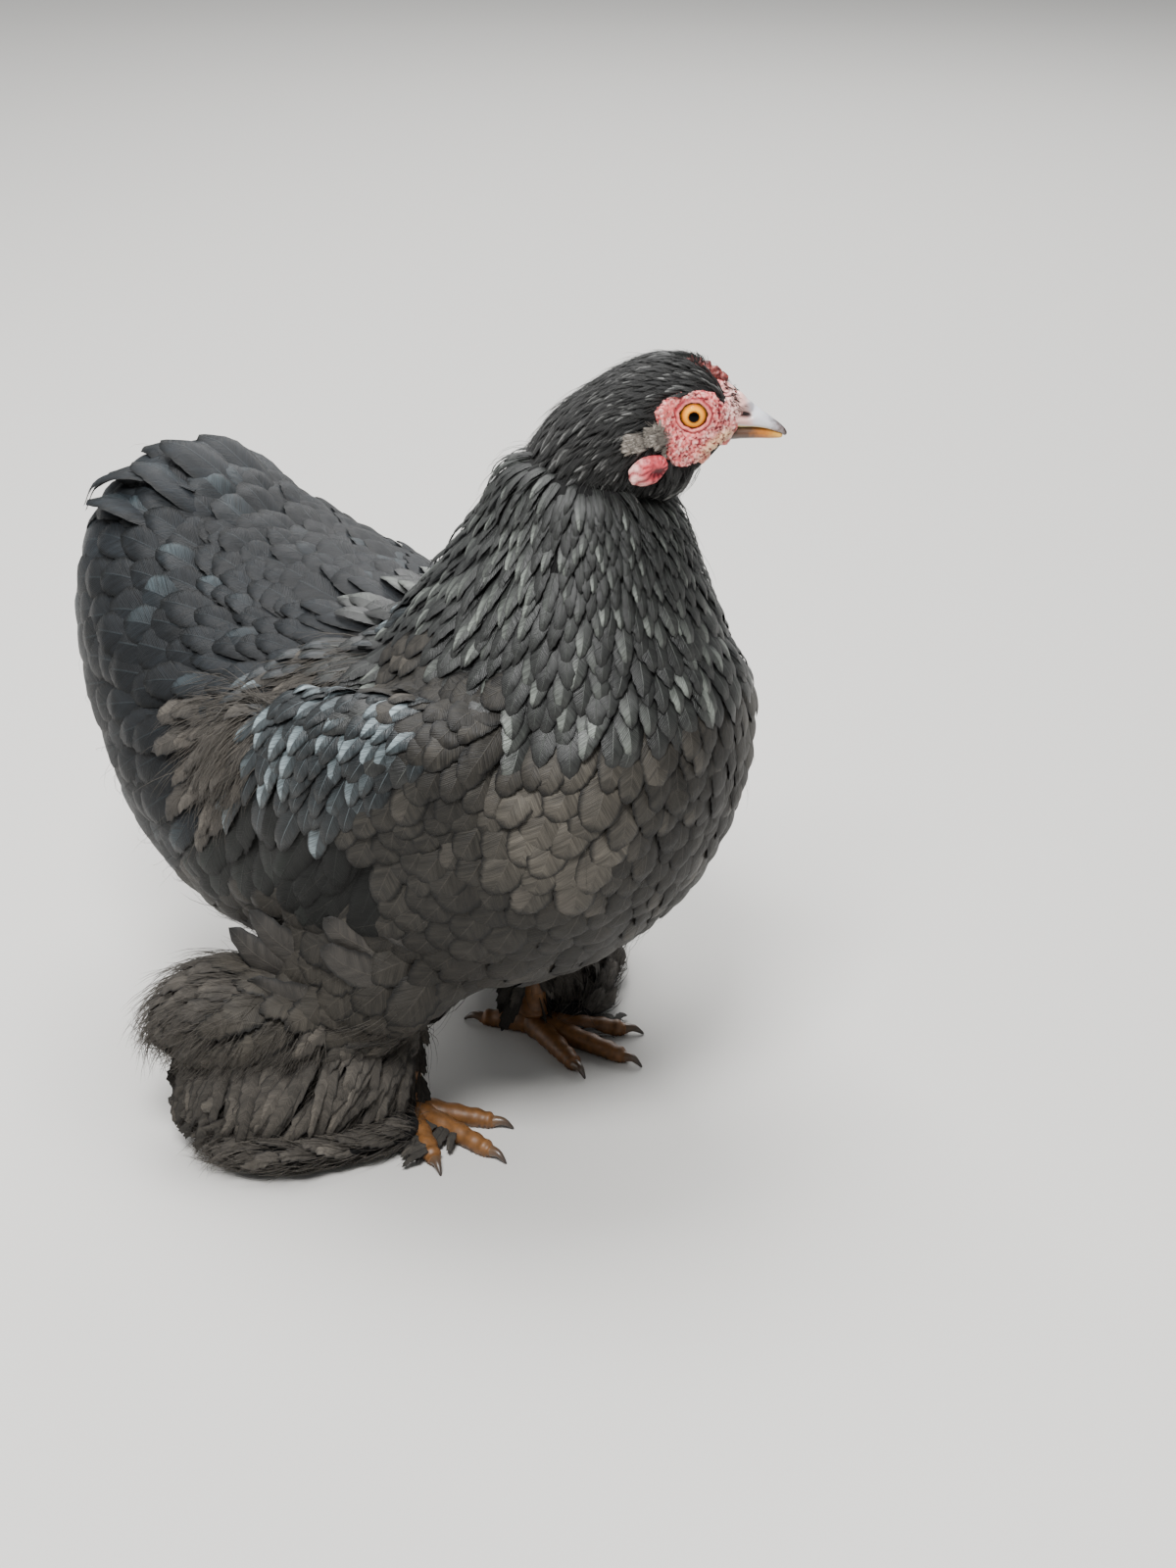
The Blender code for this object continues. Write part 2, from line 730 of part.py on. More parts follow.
def foot(label, sign, draw):
    toes = []
    lines = []
    for name, heading, length in TOES:
        rows, ahead = toe_line(heading, length, sign)
        side = Vector((-ahead.y, ahead.x, 0))
        toe = f"toe_{name}_{label}"
        toes.append(Form(rows, side=side).build(toe, 8, 6, TOE_SKIN))
        lines.append((name, rows, ahead, side, toe))
    fluff_rows = TOE_FLUFF if sign > 0 else mirrored(TOE_FLUFF)
    form = Form(fluff_rows)
    toes.append(form.build("fluff", 8, 10))
    for row in FOOT_TIERS:
        toes += tier(form, row, draw, sign, SHORT_VANE)
    sole = toes[0]
    sole.name = f"foot_{label}"
    join(sole, toes[1:])
    trim_to_floor(sole)
    carve(sole, f"shank_{label}", f"hock_{label}")
    for name, rows, ahead, side, toe in lines:
        claw(f"claw_{name}_{label}", rows, ahead, side, toe)


def main():
    clear_scene()
    draw = random.Random(SEED)
    body, tail = body_and_tail()
    join(tail, tail_vanes(body, draw))
    neck = Form(NECK, fixed=(0, 0, 1)).build("neck", 16, 24)
    carve(neck, "torso")
    head_parts(draw)
    for label, sign in (("left", 1), ("right", -1)):
        rows = WING if sign > 0 else mirrored(WING)
        form = Form(rows)
        wing = form.build(f"wing_{label}", 14, 16)
        vanes = []
        for row in WING_TIERS[:-1]:
            vanes += tier(form, row, draw, sign, SHORT_VANE)
        vanes += tier(form, WING_TIERS[-1], draw, sign)
        join(wing, vanes)
        carve(wing, "torso", "neck")
        rows = THIGH if sign > 0 else mirrored(THIGH)
        thigh = Form(rows).build(f"thigh_{label}", 12, 16)
        carve(thigh, "torso", f"wing_{label}")
        rows = SHANK if sign > 0 else mirrored(SHANK)
        shank = Form(rows).build(f"shank_{label}", 8, 10)
        rows = HOCK_FLUFF if sign > 0 else mirrored(HOCK_FLUFF)
        form = Form(rows)
        pieces = [form.build(f"hock_{label}", 9, 12)]
        for row in HOCK_TIERS:
            pieces += tier(form, row, draw, sign, SHORT_VANE)
        for root, tip, bend, width in STIFF_FEATHERS:
            flip = Vector((1, sign, 1))
            out = Vector((0.3, sign * 0.6, 0.6))
            pieces.append(vane(root * flip, tip * flip, out, bend, width))
        join(shank, pieces)
        carve(shank, f"thigh_{label}", "torso")
        foot(label, sign, draw)


main()
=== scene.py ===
# The looks of the black Cochin bantam hen: skin, plumage, face, eyes, beak and feet.
#
# Lengths are in millimetres, measured from the point on the floor midway between the shanks,
# with the hen facing +X and her head turned to her left. They are scaled and shifted into the
# frame's metres as each mesh is made.
import math
from functools import partial

import bpy
import numpy as np
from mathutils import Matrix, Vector, noise
from mathutils.bvhtree import BVHTree
from mathutils.kdtree import KDTree


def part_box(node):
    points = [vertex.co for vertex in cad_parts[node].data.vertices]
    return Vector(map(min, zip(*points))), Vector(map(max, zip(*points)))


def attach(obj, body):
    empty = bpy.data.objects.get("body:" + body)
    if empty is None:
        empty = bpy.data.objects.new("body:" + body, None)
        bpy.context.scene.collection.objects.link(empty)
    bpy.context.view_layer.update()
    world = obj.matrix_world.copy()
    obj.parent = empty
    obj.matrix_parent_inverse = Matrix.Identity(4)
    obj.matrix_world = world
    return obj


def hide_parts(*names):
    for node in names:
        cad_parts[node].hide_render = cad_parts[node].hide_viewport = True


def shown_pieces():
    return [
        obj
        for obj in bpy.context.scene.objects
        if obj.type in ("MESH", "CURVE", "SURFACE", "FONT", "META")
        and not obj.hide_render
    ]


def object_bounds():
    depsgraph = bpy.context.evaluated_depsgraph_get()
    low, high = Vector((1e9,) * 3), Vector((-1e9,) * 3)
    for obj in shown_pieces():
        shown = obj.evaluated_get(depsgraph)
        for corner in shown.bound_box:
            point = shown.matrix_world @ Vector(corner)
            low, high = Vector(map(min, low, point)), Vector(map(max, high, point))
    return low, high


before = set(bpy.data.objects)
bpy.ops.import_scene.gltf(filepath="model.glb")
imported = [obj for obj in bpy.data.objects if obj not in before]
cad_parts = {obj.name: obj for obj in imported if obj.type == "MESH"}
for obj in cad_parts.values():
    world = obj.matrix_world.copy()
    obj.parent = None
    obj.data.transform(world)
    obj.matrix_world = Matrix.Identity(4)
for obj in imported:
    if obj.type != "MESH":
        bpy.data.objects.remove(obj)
cad_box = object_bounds()

MM = 0.001
SEED = 23
draw = np.random.default_rng(SEED)

# Stations of each form, in order along it: centre x, y, z, half width, half height.
BODY = [
    (95, 0, 150, 0, 0),
    (92.5, 0, 149, 16, 18),
    (87, 0, 146, 33, 36),
    (78, 0, 141, 48, 49),
    (62, 0, 132, 61, 59),
    (38, 0, 121, 73, 65),
    (5, 0, 115, 81, 67),
    (-30, 0, 112, 83, 66),
    (-63, 0, 113, 82, 67),
    (-95, 0, 122.5, 74, 67),
    (-122, 0, 138.5, 61.5, 64),
    (-141, 0, 151, 48, 52),
    (-152, 0, 156, 36, 38.5),
    (-159, 0, 158, 23, 24),
    (-163, 0, 158, 12, 12),
    (-164.5, 0, 158, 0, 0),
]
# The neck's rings lie flat, so its last two numbers are half sizes along Y and along X.
NECK = [
    (25, 0, 126, 0, 0),
    (25, 0, 136, 49, 51),
    (27, 0, 152, 62, 64),
    (30, 0, 174, 57, 59),
    (35, 0, 198, 46, 47),
    (39, 0, 221, 35, 36),
    (39, -2, 234, 28, 29),
    (38, -4, 242, 19, 20),
    (38, -5, 246, 0, 0),
]
WING = [
    (52, 46, 160, 0, 0),
    (46, 52, 158, 11, 15),
    (30, 62, 152, 15, 25),
    (8, 69, 143, 16, 32),
    (-15, 71, 136, 16, 34),
    (-38, 70, 128, 14, 29),
    (-58, 66, 121, 10, 19),
    (-70, 62, 117, 6, 8),
    (-75, 60, 115, 0, 0),
]
THIGH = [
    (-6, 42, 96, 0, 0),
    (-6, 43, 88, 28, 33),
    (-8, 46, 72, 33, 41),
    (-9, 46, 56, 29, 37),
    (-7, 42, 44, 17, 23),
    (-5, 38, 38, 0, 0),
]
HOCK = [
    (4, 38, 37, 0, 0),
    (-1, 42, 38, 12, 12),
    (-14, 56, 44, 20, 20),
    (-32, 74, 48, 25, 22.5),
    (-48, 88, 48, 23, 21),
    (-59, 98, 47, 13, 12),
    (-63, 101, 47, 0, 0),
]
BOOT = [
    (12, 42, 6, 0, 0),
    (4, 50, 7, 14, 7.4),
    (-10, 64, 8.4, 22, 8.8),
    (-25, 80, 9, 26, 9.4),
    (-37, 93, 7.6, 18, 7.8),
    (-42, 98, 7, 0, 0),
]
SHANK = [
    (-5, 36, 50, 0, 0),
    (-5, 36, 46, 5, 5.5),
    (-5, 36, 30, 4.6, 5.2),
    (-5, 36, 14, 5, 5.6),
    (-5, 36, 9, 5.5, 6),
    (-5, 36, 6, 0, 0),
]
# Flesh that fills the fold between shoulder and neck, inside the plumage.
SHOULDER_FILL = [
    (52, 48, 160, 0, 0),
    (47, 51, 160, 8, 9),
    (32, 56, 161, 9, 10.5),
    (12, 58, 160, 8, 10),
    (-4, 58, 158, 4, 5),
    (-9, 58, 157, 0, 0),
]
# The head's own frame: its origin midway between the eyes, +x along the beak.
HEAD_PLACE = np.array((71, 12.5, 259.0))
HEAD_YAW = math.radians(38)
HEAD = [
    (15.8, 0, -2, 0, 0),
    (14.3, 0, -1.8, 5, 5.3),
    (10, 0, -3.5, 7.8, 11),
    (4, 0, -4, 10.8, 17),
    (-3, 0, -5.5, 12.6, 22),
    (-12, 0, -7, 14.3, 23.5),
    (-22, 1, -9.5, 16, 21.5),
    (-32, 4, -15, 16.5, 19),
    (-41, 8, -22, 15, 16),
    (-48, 12, -28, 10, 10.5),
    (-51, 14, -31, 0, 0),
]
BEAK_UPPER = [
    (10, 0, -0.8, 0, 0),
    (12, 0, -1.3, 5.3, 5.6),
    (16, 0, -2.9, 4.7, 4.4),
    (20, 0, -4.3, 3.9, 2.9),
    (24, 0, -6, 2.9, 1.8),
    (27, 0, -7.7, 1.8, 1.3),
    (28.6, 0, -9, 0.9, 0.9),
    (29.2, 0, -9.9, 0, 0),
]
BEAK_LOWER = [
    (8, 0, -8.4, 0, 0),
    (10, 0, -8.5, 4.2, 2.4),
    (16, 0, -8.6, 3.5, 2.2),
    (21, 0, -8.9, 2.7, 1.9),
    (26, 0, -9.6, 1.6, 1.3),
    (28.2, 0, -10.2, 0, 0),
]
# The border of the bare face, seen from the side, in the head's own x and z.
FACE_BORDER = [
    (-11.4, 1.6), (-8.6, 4.6), (-5.0, 6.6), (-1.0, 7.5), (3.0, 7.4), (6.6, 6.2), (9.6, 1.6),
    (13.0, 0.0), (13.0, -9.0), (8.0, -11.0), (4.7, -13.2), (1.8, -15.6), (-1.2, -17.2),
    (-5.6, -15.8), (-7.4, -12.5), (-8.9, -6.0), (-10.6, -2.0),
]
EARLOBE = [
    (-8, 13, -14, 0, 0),
    (-9, 13.4, -14.3, 1.8, 2.6),
    (-13.5, 14.6, -16.3, 2.6, 4.4),
    (-18, 15.4, -18, 1.8, 2.8),
    (-19.2, 15.4, -18.4, 0, 0),
]
WATTLE = [
    (5, 5.5, -12.4, 0, 0),
    (4.6, 5.9, -12.82, 1.3, 1.56),
    (3.6, 6.6, -14.29, 1.6, 1.92),
    (2.8, 6.9, -15.76, 1.2, 1.44),
    (2.4, 6.9, -16.306, 0, 0),
]
COMB_POINTS = 5
COMB_FRONT = np.array((11, 0, 8.6))
COMB_REAR = np.array((-2.5, 0, 15.6))
COMB_HEIGHT = 1.4
COMB_POINT_RISE = 0.8
COMB_HALF_THICK = 1.2
NOSTRIL_PLACE = np.array((16.2, 5, -1.6))
EYE_OUT = 7.6
EYE_RADIUS = 5.2
PUPIL_RADIUS = 1.6
# The rim of the lids, from its inner edge to the cheek: distance from the eye's middle, height
# over it, and how pale and how dark it is there: painted shade where it turns in to the eye and
# on its outer slope, a painted highlight on its crest.
LID_PROFILE = [
    (4.3, 2.9, 0, 0.9), (4.05, 3.36, 0, 0.9), (4.13, 3.72, 0, 0.1), (4.42, 3.98, 0.3, 0.1),
    (4.85, 4.02, 0, 0.1), (5.25, 3.78, 0, 0.75), (5.55, 3.4, 0, 0.75), (5.8, 2.7, 0, 0.75),
]
# Rings of folds round the eye: radius, height, breadth.
EYE_FOLDS = [(6.3, 0.42, 0.55), (7.6, 0.34, 0.6), (9.1, 0.25, 0.7)]
# The fold from the corner of the mouth down the jowl, in the head's own x and z.
GAPE = np.array((10.5, -7.2))
JOWL = np.array((1.5, -13.5))

FOOT_X = -5.0
FOOT_Y = 36.0
# Each toe: name, heading in degrees outward from straight ahead, length.
TOES = [("inner", -24, 30), ("middle", 4, 38), ("outer", 34, 32), ("hind", 200, 18)]
# Along a toe: share of its length, height of its centre, its radius.
TOE_ROWS = [(0.0, 4.0, 4.4), (0.3, 3.5, 4.0), (0.6, 3.1, 3.6), (0.85, 2.7, 3.2), (1.0, 2.2, 2.6)]
# Along a claw: share of its length, rise, radius.
CLAW_ROWS = [(0.0, 0.0, 1.9), (0.5, 0.6, 1.4), (0.85, -0.9, 0.7)]
CLAW_LENGTH = 8.0
CLAW_DROP = 2.0
SCUTE_LENGTH = 2.3

# How deep the coat is over each form: the skin lies this far inside it.
COAT = {
    "body": 5.0, "neck": 5.5, "wing": 4.0, "thigh": 6.0, "hock": 6.0, "boot": 3.5, "shank": 0.8,
    "shoulder": 0.5,
}
HEAD_COAT = 1.6
# The forms are joined this much too thick and then drawn in, so that narrow creases close.
CREASE = 5.0
SKIN_VOXEL = 2.0
HEAD_VOXEL = 0.42
# How close together the rings of a form are at its two ends.
RING_CROWDING = 0.11
# A feather's roll about its shaft, in radians, and the size of its patch in the bake's UV map.
FEATHER_LEAN = 0.14
BAKE_PATCH = 0.003
# Loose barbs: rows of points along each, and how thick they are, coarse and fine.
BARB_ROWS = 4
COARSE_BARB = (0.09, 0.17)
FINE_BARB = (0.05, 0.09)

# What grows where: length and width of a feather, how far its tip stands off the skin, then
# how brown, how pointed and how loose it is, each from 0 to 1, and how pale, from 0 to 1.5.
# The paleness is partly the feathers' own and partly painted light: high on the breast where
# light falls, low on the front and sides that lie in shade.
TRACTS = {
    "nape": (14, 3.0, 3.0, 0.15, 0.9, 0.3, 0.45),
    "hackle": (20, 4.8, 4.4, 0.15, 0.85, 0.1, 0.5),
    "cape": (27, 9.5, 5.2, 0.15, 0.6, 0.05, 0.15),
    "throat": (12, 3.0, 3.4, 0.4, 0.7, 0.5, 0.35),
    "crop": (19, 6.8, 4.6, 0.4, 0.5, 0.2, 0.5),
    "breast": (23, 15.0, 4.6, 0.45, 0.05, 0.05, 1.5),
    "side": (24, 15.5, 4.6, 0.3, 0.05, 0.08, 0.1),
    "front": (22, 11.0, 4.2, 0.3, 0.25, 0.2, 0.0),
    "belly": (29, 17.0, 4.8, 0.5, 0.05, 0.15, 0.15),
    "vent": (27, 11.0, 5.5, 0.9, 0.4, 1.0, 0.35),
    "saddle": (23, 9.5, 4.6, 0.1, 0.25, 0.05, 0.35),
    "cushion": (26, 16.0, 4.8, 0.12, 0.0, 0.05, 0.2),
    "tail": (33, 16.5, 5.4, 0.12, 0.0, 0.05, 0.75),
    "rump": (27, 15.5, 5.0, 0.4, 0.05, 0.25, 0.15),
    "shoulder": (18, 11.5, 4.2, 0.12, 0.1, 0.05, 0.15),
    "covert": (19, 7.0, 4.2, 0.05, 0.6, 0.0, 0.45),
    "edge": (17, 4.6, 5.6, 0.1, 0.65, 0.0, 0.5),
    "down": (22, 4.6, 5.0, 0.8, 0.6, 1.0, 1.1),
    "secondary": (42, 12.5, 4.8, 0.25, 0.3, 0.05, 0.2),
    "thigh": (25, 14.0, 5.0, 0.8, 0.1, 0.35, 0.35),
    "hock": (20, 6.0, 5.0, 0.95, 0.4, 1.0, 0.8),
    "boot": (15, 5.5, 3.2, 1.0, 0.4, 1.0, 1.0),
    "crown": (8.0, 1.4, 1.4, 0.2, 0.9, 0.5, 0.45),
    "cheek": (8, 1.5, 1.8, 0.3, 0.9, 0.5, 0.45),
    "ear": (7, 1.4, 2.4, 1.0, 0.5, 1.0, 0.5),
}
# The lie of the plumage: what grows, a place, and the way its feathers point there. Each one
# off the middle stands for both sides.
GUIDES = [
    ("nape", (4, 0, 238), (-0.45, 0, -0.9)),
    ("nape", (39, 30, 236), (-0.1, 0.3, -0.95)),
    ("hackle", (2, 0, 214), (-0.5, 0, -0.86)),
    ("cape", (-24, 0, 186), (-0.8, 0, -0.6)),
    ("hackle", (38, 38, 220), (-0.1, 0.2, -0.97)),
    ("hackle", (34, 50, 200), (-0.2, 0.3, -0.94)),
    ("hackle", (4, 34, 206), (-0.45, 0.25, -0.85)),
    ("cape", (26, 62, 174), (-0.35, 0.2, -0.9)),
    ("cape", (-14, 44, 178), (-0.7, 0.3, -0.66)),
    ("throat", (68, 0, 232), (0.1, 0, -1)),
    ("throat", (62, 20, 226), (0.05, 0.1, -1)),
    ("crop", (84, 0, 196), (0.2, 0, -0.97)),
    ("crop", (70, 38, 190), (0.0, 0.2, -0.97)),
    ("front", (93, 0, 158), (0.0, 0, -1)),
    ("breast", (76, 44, 150), (-0.35, 0.1, -0.93)),
    ("side", (60, 62, 118), (-0.64, 0.05, -0.76)),
    ("side", (76, 30, 104), (-0.55, 0.03, -0.82)),
    ("front", (84, 22, 140), (-0.15, 0.06, -0.97)),
    ("front", (84, 0, 112), (-0.45, 0, -0.9)),
    ("belly", (62, 0, 76), (-0.85, 0, -0.5)),
    ("belly", (50, 46, 82), (-0.8, 0, -0.55)),
    ("belly", (20, 72, 96), (-0.82, 0, -0.57)),
    ("belly", (16, 0, 50), (-1, 0, -0.12)),
    ("belly", (-40, 76, 84), (-0.85, 0, -0.5)),
    ("vent", (-40, 0, 47), (-1, 0, 0)),
    ("vent", (-92, 0, 60), (-1, 0, 0.15)),
    ("rump", (-92, 66, 92), (-0.8, 0, -0.58)),
    ("saddle", (-38, 0, 180), (-1, 0, 0.05)),
    ("saddle", (-44, 40, 168), (-0.97, 0.1, -0.1)),
    ("saddle", (-62, 20, 180), (-0.97, 0, 0.2)),
    ("cushion", (-80, 0, 188), (-0.95, 0, 0.3)),
    ("cushion", (-80, 56, 164), (-0.98, 0.05, 0.0)),
    ("tail", (-116, 0, 203), (-0.95, 0, 0.25)),
    ("tail", (-122, 28, 190), (-0.95, 0.05, 0.1)),
    ("tail", (-142, 0, 204), (-0.88, 0, -0.35)),
    ("cushion", (-112, 56, 162), (-0.95, 0, -0.25)),
    ("tail", (-152, 14, 190), (-0.75, 0, -0.65)),
    ("cushion", (-146, 38, 172), (-0.75, 0.05, -0.65)),
    ("cushion", (-162, 0, 160), (-0.2, 0, -1)),
    ("rump", (-146, 38, 128), (-0.45, 0, -0.9)),
    ("vent", (-146, 0, 108), (-0.1, 0, -1)),
    ("rump", (-118, 52, 96), (-0.55, 0, -0.82)),
    ("shoulder", (38, 72, 158), (-0.25, 0.2, -0.95)),
    ("shoulder", (30, 78, 142), (-0.35, 0.05, -0.93)),
    ("shoulder", (28, 58, 174), (-0.3, 0.6, -0.5)),
    ("shoulder", (16, 44, 177), (-0.5, 0.55, -0.4)),
    ("covert", (4, 58, 169), (-0.3, 0.65, -0.45)),
    ("covert", (-12, 60, 166), (-0.35, 0.6, -0.45)),
    ("covert", (16, 76, 164), (-0.2, 0.3, -0.94)),
    ("covert", (0, 84, 152), (-0.2, 0.15, -0.97)),
    ("covert", (-18, 82, 156), (-0.25, 0.2, -0.95)),
    ("down", (-36, 80, 150), (-0.45, 0.1, -0.88)),
    ("down", (-24, 50, 171), (-0.6, 0.6, -0.3)),
    ("down", (-48, 78, 136), (-0.5, 0, -0.86)),
    ("rump", (-68, 74, 128), (-0.75, 0, -0.62)),
    ("secondary", (-14, 86, 134), (-0.3, 0, -0.95)),
    ("secondary", (10, 84, 126), (-0.4, 0, -0.9)),
    ("secondary", (-40, 84, 124), (-0.35, 0, -0.93)),
    ("belly", (-5, 82, 98), (-0.75, 0, -0.65)),
    ("thigh", (2, 72, 76), (-0.7, 0.1, -0.7)),
    ("thigh", (-22, 72, 60), (-0.75, 0.2, -0.62)),
    ("hock", (-14, 56, 62), (-0.6, 0.6, 0.3)),
    ("hock", (-34, 80, 70), (-0.65, 0.6, 0.2)),
    ("hock", (-34, 70, 24), (-0.6, 0.6, -0.3)),
    ("hock", (-58, 96, 46), (-0.55, 0.6, -0.4)),
    ("boot", (-10, 66, 16), (-0.7, 0.7, 0)),
    ("boot", (-36, 90, 14), (-0.65, 0.7, -0.1)),
    ("boot", (2, 52, 12), (-0.5, 0.7, 0)),
    ("hock", (-34, 72, 26), (-0.3, 0.25, -0.92)),
    ("hock", (-12, 74, 42), (-0.35, 0.2, -0.9)),
    ("hock", (-24, 92, 40), (-0.4, 0.25, -0.88)),
    ("hock", (-48, 100, 36), (-0.35, 0.3, -0.88)),
]
# The same for the head, in its own frame.
HEAD_GUIDES = [
    ("crown", (9, 0, 9), (-0.8, 0, 0.6)),
    ("crown", (2, 0, 14), (-0.9, 0, 0.3)),
    ("crown", (-8, 0, 17), (-1, 0, 0)),
    ("crown", (-25, 0, 11), (-0.9, 0, -0.45)),
    ("crown", (2, 9, 9), (-1, 0, 0.05)),
    ("crown", (-12, 12, 6), (-0.97, 0, -0.2)),
    ("nape", (-34, 4, 0), (-0.8, 0, -0.6)),
    ("cheek", (-24, 15, -6), (-0.8, 0, -0.6)),
    ("nape", (-32, 18, -18), (-0.5, 0, -0.85)),
    ("cheek", (-20, 14, -20), (-0.4, 0, -0.9)),
    ("cheek", (-8, 9, -24), (-0.35, 0, -0.93)),
    ("throat", (2, 5, -21), (-0.3, 0, -0.95)),
    ("throat", (-12, 0, -30), (-0.3, 0, -0.95)),
]
# Long feathers that stand out one by one: root, tip, how far the middle bows away from the
# straight line, and width.
TAIL_FEATHERS = [
    ((-98, 4, 184), (-137, -3, 209), (0, 0, 7), 19),
    ((-98, 17, 181), (-136, 13, 206), (0, 0, 7), 19),
    ((-99, -11, 183), (-137, -18, 205), (0, 0, 7), 19),
    ((-106, -22, 182), (-145, -33, 194), (0, -2, 9), 18),
    ((-106, 27, 181), (-144, 29, 194), (0, 2, 9), 18),
    ((-114, 2, 190), (-151, 0, 202), (0, 0, 10), 18),
    ((-114, -12, 188), (-150, -17, 198), (0, -2, 10), 18),
    ((-114, 16, 188), (-150, 15, 198), (0, 2, 10), 18),
    ((-114, -16, 196), (-149, -34, 190), (-8, -5, 17), 6),
    ((-114, -13, 197), (-152, -30, 187), (-8, -5, 17), 5),
]
# Rows of feathers along a line, on both sides, given for the left one: the tract, the line,
# how many, and the way they point, or None where they follow the line.
FEATHER_ROWS = [
    ("covert", [(30, 58, 180), (8, 57, 178), (-12, 57, 172)], 13, (-0.35, 0.9, -0.3)),
    ("covert", [(36, 64, 182), (10, 65, 180), (-14, 65, 174)], 13, (-0.3, 0.8, -0.5)),
    ("covert", [(36, 72, 178), (8, 75, 176), (-16, 76, 170)], 13, (-0.25, 0.35, -0.9)),
    ("shoulder", [(48, 48, 178), (40, 60, 178), (36, 70, 174)], 6, (-0.3, 0.7, -0.6)),
    ("shoulder", [(52, 40, 180), (40, 50, 182), (26, 54, 180)], 7, (-0.5, 0.8, -0.3)),
    ("shoulder", [(52, 44, 184), (38, 50, 184), (20, 53, 183)], 7, (-0.4, 0.75, -0.4)),
    ("cushion", [(-34, 5, 186), (-62, 5, 188), (-104, 5, 198)], 9, (-1, 0.03, 0.15)),
    ("cushion", [(-40, 15, 184), (-66, 15, 187), (-104, 15, 196)], 8, (-1, 0.1, 0.1)),
    ("cushion", [(-46, 26, 182), (-70, 26, 184), (-104, 26, 190)], 8, (-1, 0.15, 0.05)),
    ("tail", [(-112, 6, 200), (-126, 6, 203), (-142, 6, 203)], 4, (-0.9, 0.05, -0.3)),
    ("tail", [(-112, 22, 196), (-126, 22, 199), (-142, 22, 197)], 4, (-0.9, 0.15, -0.4)),
    ("rump", [(-150, 4, 196), (-162, 4, 172), (-162, 4, 145), (-148, 4, 118)], 8, (-0.3, 0.08, -0.95)),
    ("rump", [(-146, 18, 192), (-156, 18, 170), (-156, 18, 145), (-142, 18, 115)], 8, (-0.3, 0.2, -0.93)),
    ("edge", [(-5, 29, 194), (-20, 27, 184), (-37, 41, 172), (-46, 51, 165)], 9, None),
    ("edge", [(-1, 34, 190), (-18, 33, 181), (-34, 46, 170), (-44, 56, 163)], 9, None),
]
# These stand on both sides; they are given for the left one.
WING_TIP = [
    ((-30, 82, 138), (-42, 82, 114), (-3, 2, 0), 6),
    ((-36, 82, 136), (-48, 79, 112), (-4, 1, 0), 5.5),
]
LEG_FEATHERS = [
    ((6, 58, 62), (-37, 79, 86), (0, 7, -5), 13),
    ((4, 58, 56), (-43, 82, 79), (0, 7, -5), 13),
    ((24, 55, 78), (-3, 79, 95), (0, 5, -5), 13.5),
    ((22, 56, 71), (-2, 82, 86), (0, 5, -5), 13),
    ((38, 46, 86), (14, 75, 98), (0, 5, -3), 11),
    ((10, 54, 54), (-28, 86, 70), (0, 7, -5), 13),
    ((10, 52, 47), (-20, 86, 59), (0, 7, -5), 12),
]
# The soft mass of fluff that hangs under each hock, down to the ground.
UNDER_HOCK = [
    (4, 40, 29, 0, 0),
    (-4, 47, 28, 12, 15),
    (-16, 60, 26, 20, 20),
    (-30, 75, 26, 24, 21),
    (-42, 87, 26, 20, 19),
    (-51, 94, 28, 11, 13),
    (-54, 97, 29, 0, 0),
]
# Where the folded wing stands off the back there is a hollow, bare of feathers and dark with the
# near-black under-skin, painted shade: its middle and half sizes.
HOLLOW_PLACE = np.array((-31, 64, 163.0))
HOLLOW_SIZE = np.array((14, 10, 7.0))
HOLLOW_DEPTH = 9.0

# The pieces of the body's coat: its part of the bake's UV map, material, the size of its vanes,
# the tracts in it, and how many loose barbs grow with each feather.
COAT_PIECES = {
    "hackle_upper": ("neck", "hackle", "middle", ("nape", "throat"), 1),
    "hackle_lower": ("neck", "hackle", "middle", ("hackle", "crop"), 0),
    "cape": ("neck", "hackle", "large", ("cape",), 0),
    "breast": ("body", "body", "large", ("breast", "side"), 0),
    "front": ("body", "body", "large", ("front",), 1),
    "belly": ("body", "body", "large", ("belly",), 1),
    "back": ("body", "back", "large", ("saddle", "cushion", "tail"), 0),
    "rump": ("body", "back", "large", ("rump",), 1),
    "vent": ("body", "fluff", "middle", ("vent",), 14),
    "thighs": ("body", "body", "large", ("thigh",), 3),
    "shoulders": ("body", "body", "large", ("shoulder",), 0),
    "wing_coverts": ("body", "wing", "large", ("covert", "edge"), 0),
    "secondaries": ("body", "quill", "large", ("secondary",), 0),
    "wing_down": ("body", "fluff", "middle", ("down",), 20),
    "hock_fluff": ("leg", "fluff", "middle", ("hock",), 13),
    "foot_fluff": ("leg", "fluff", "middle", ("boot",), 11),
}
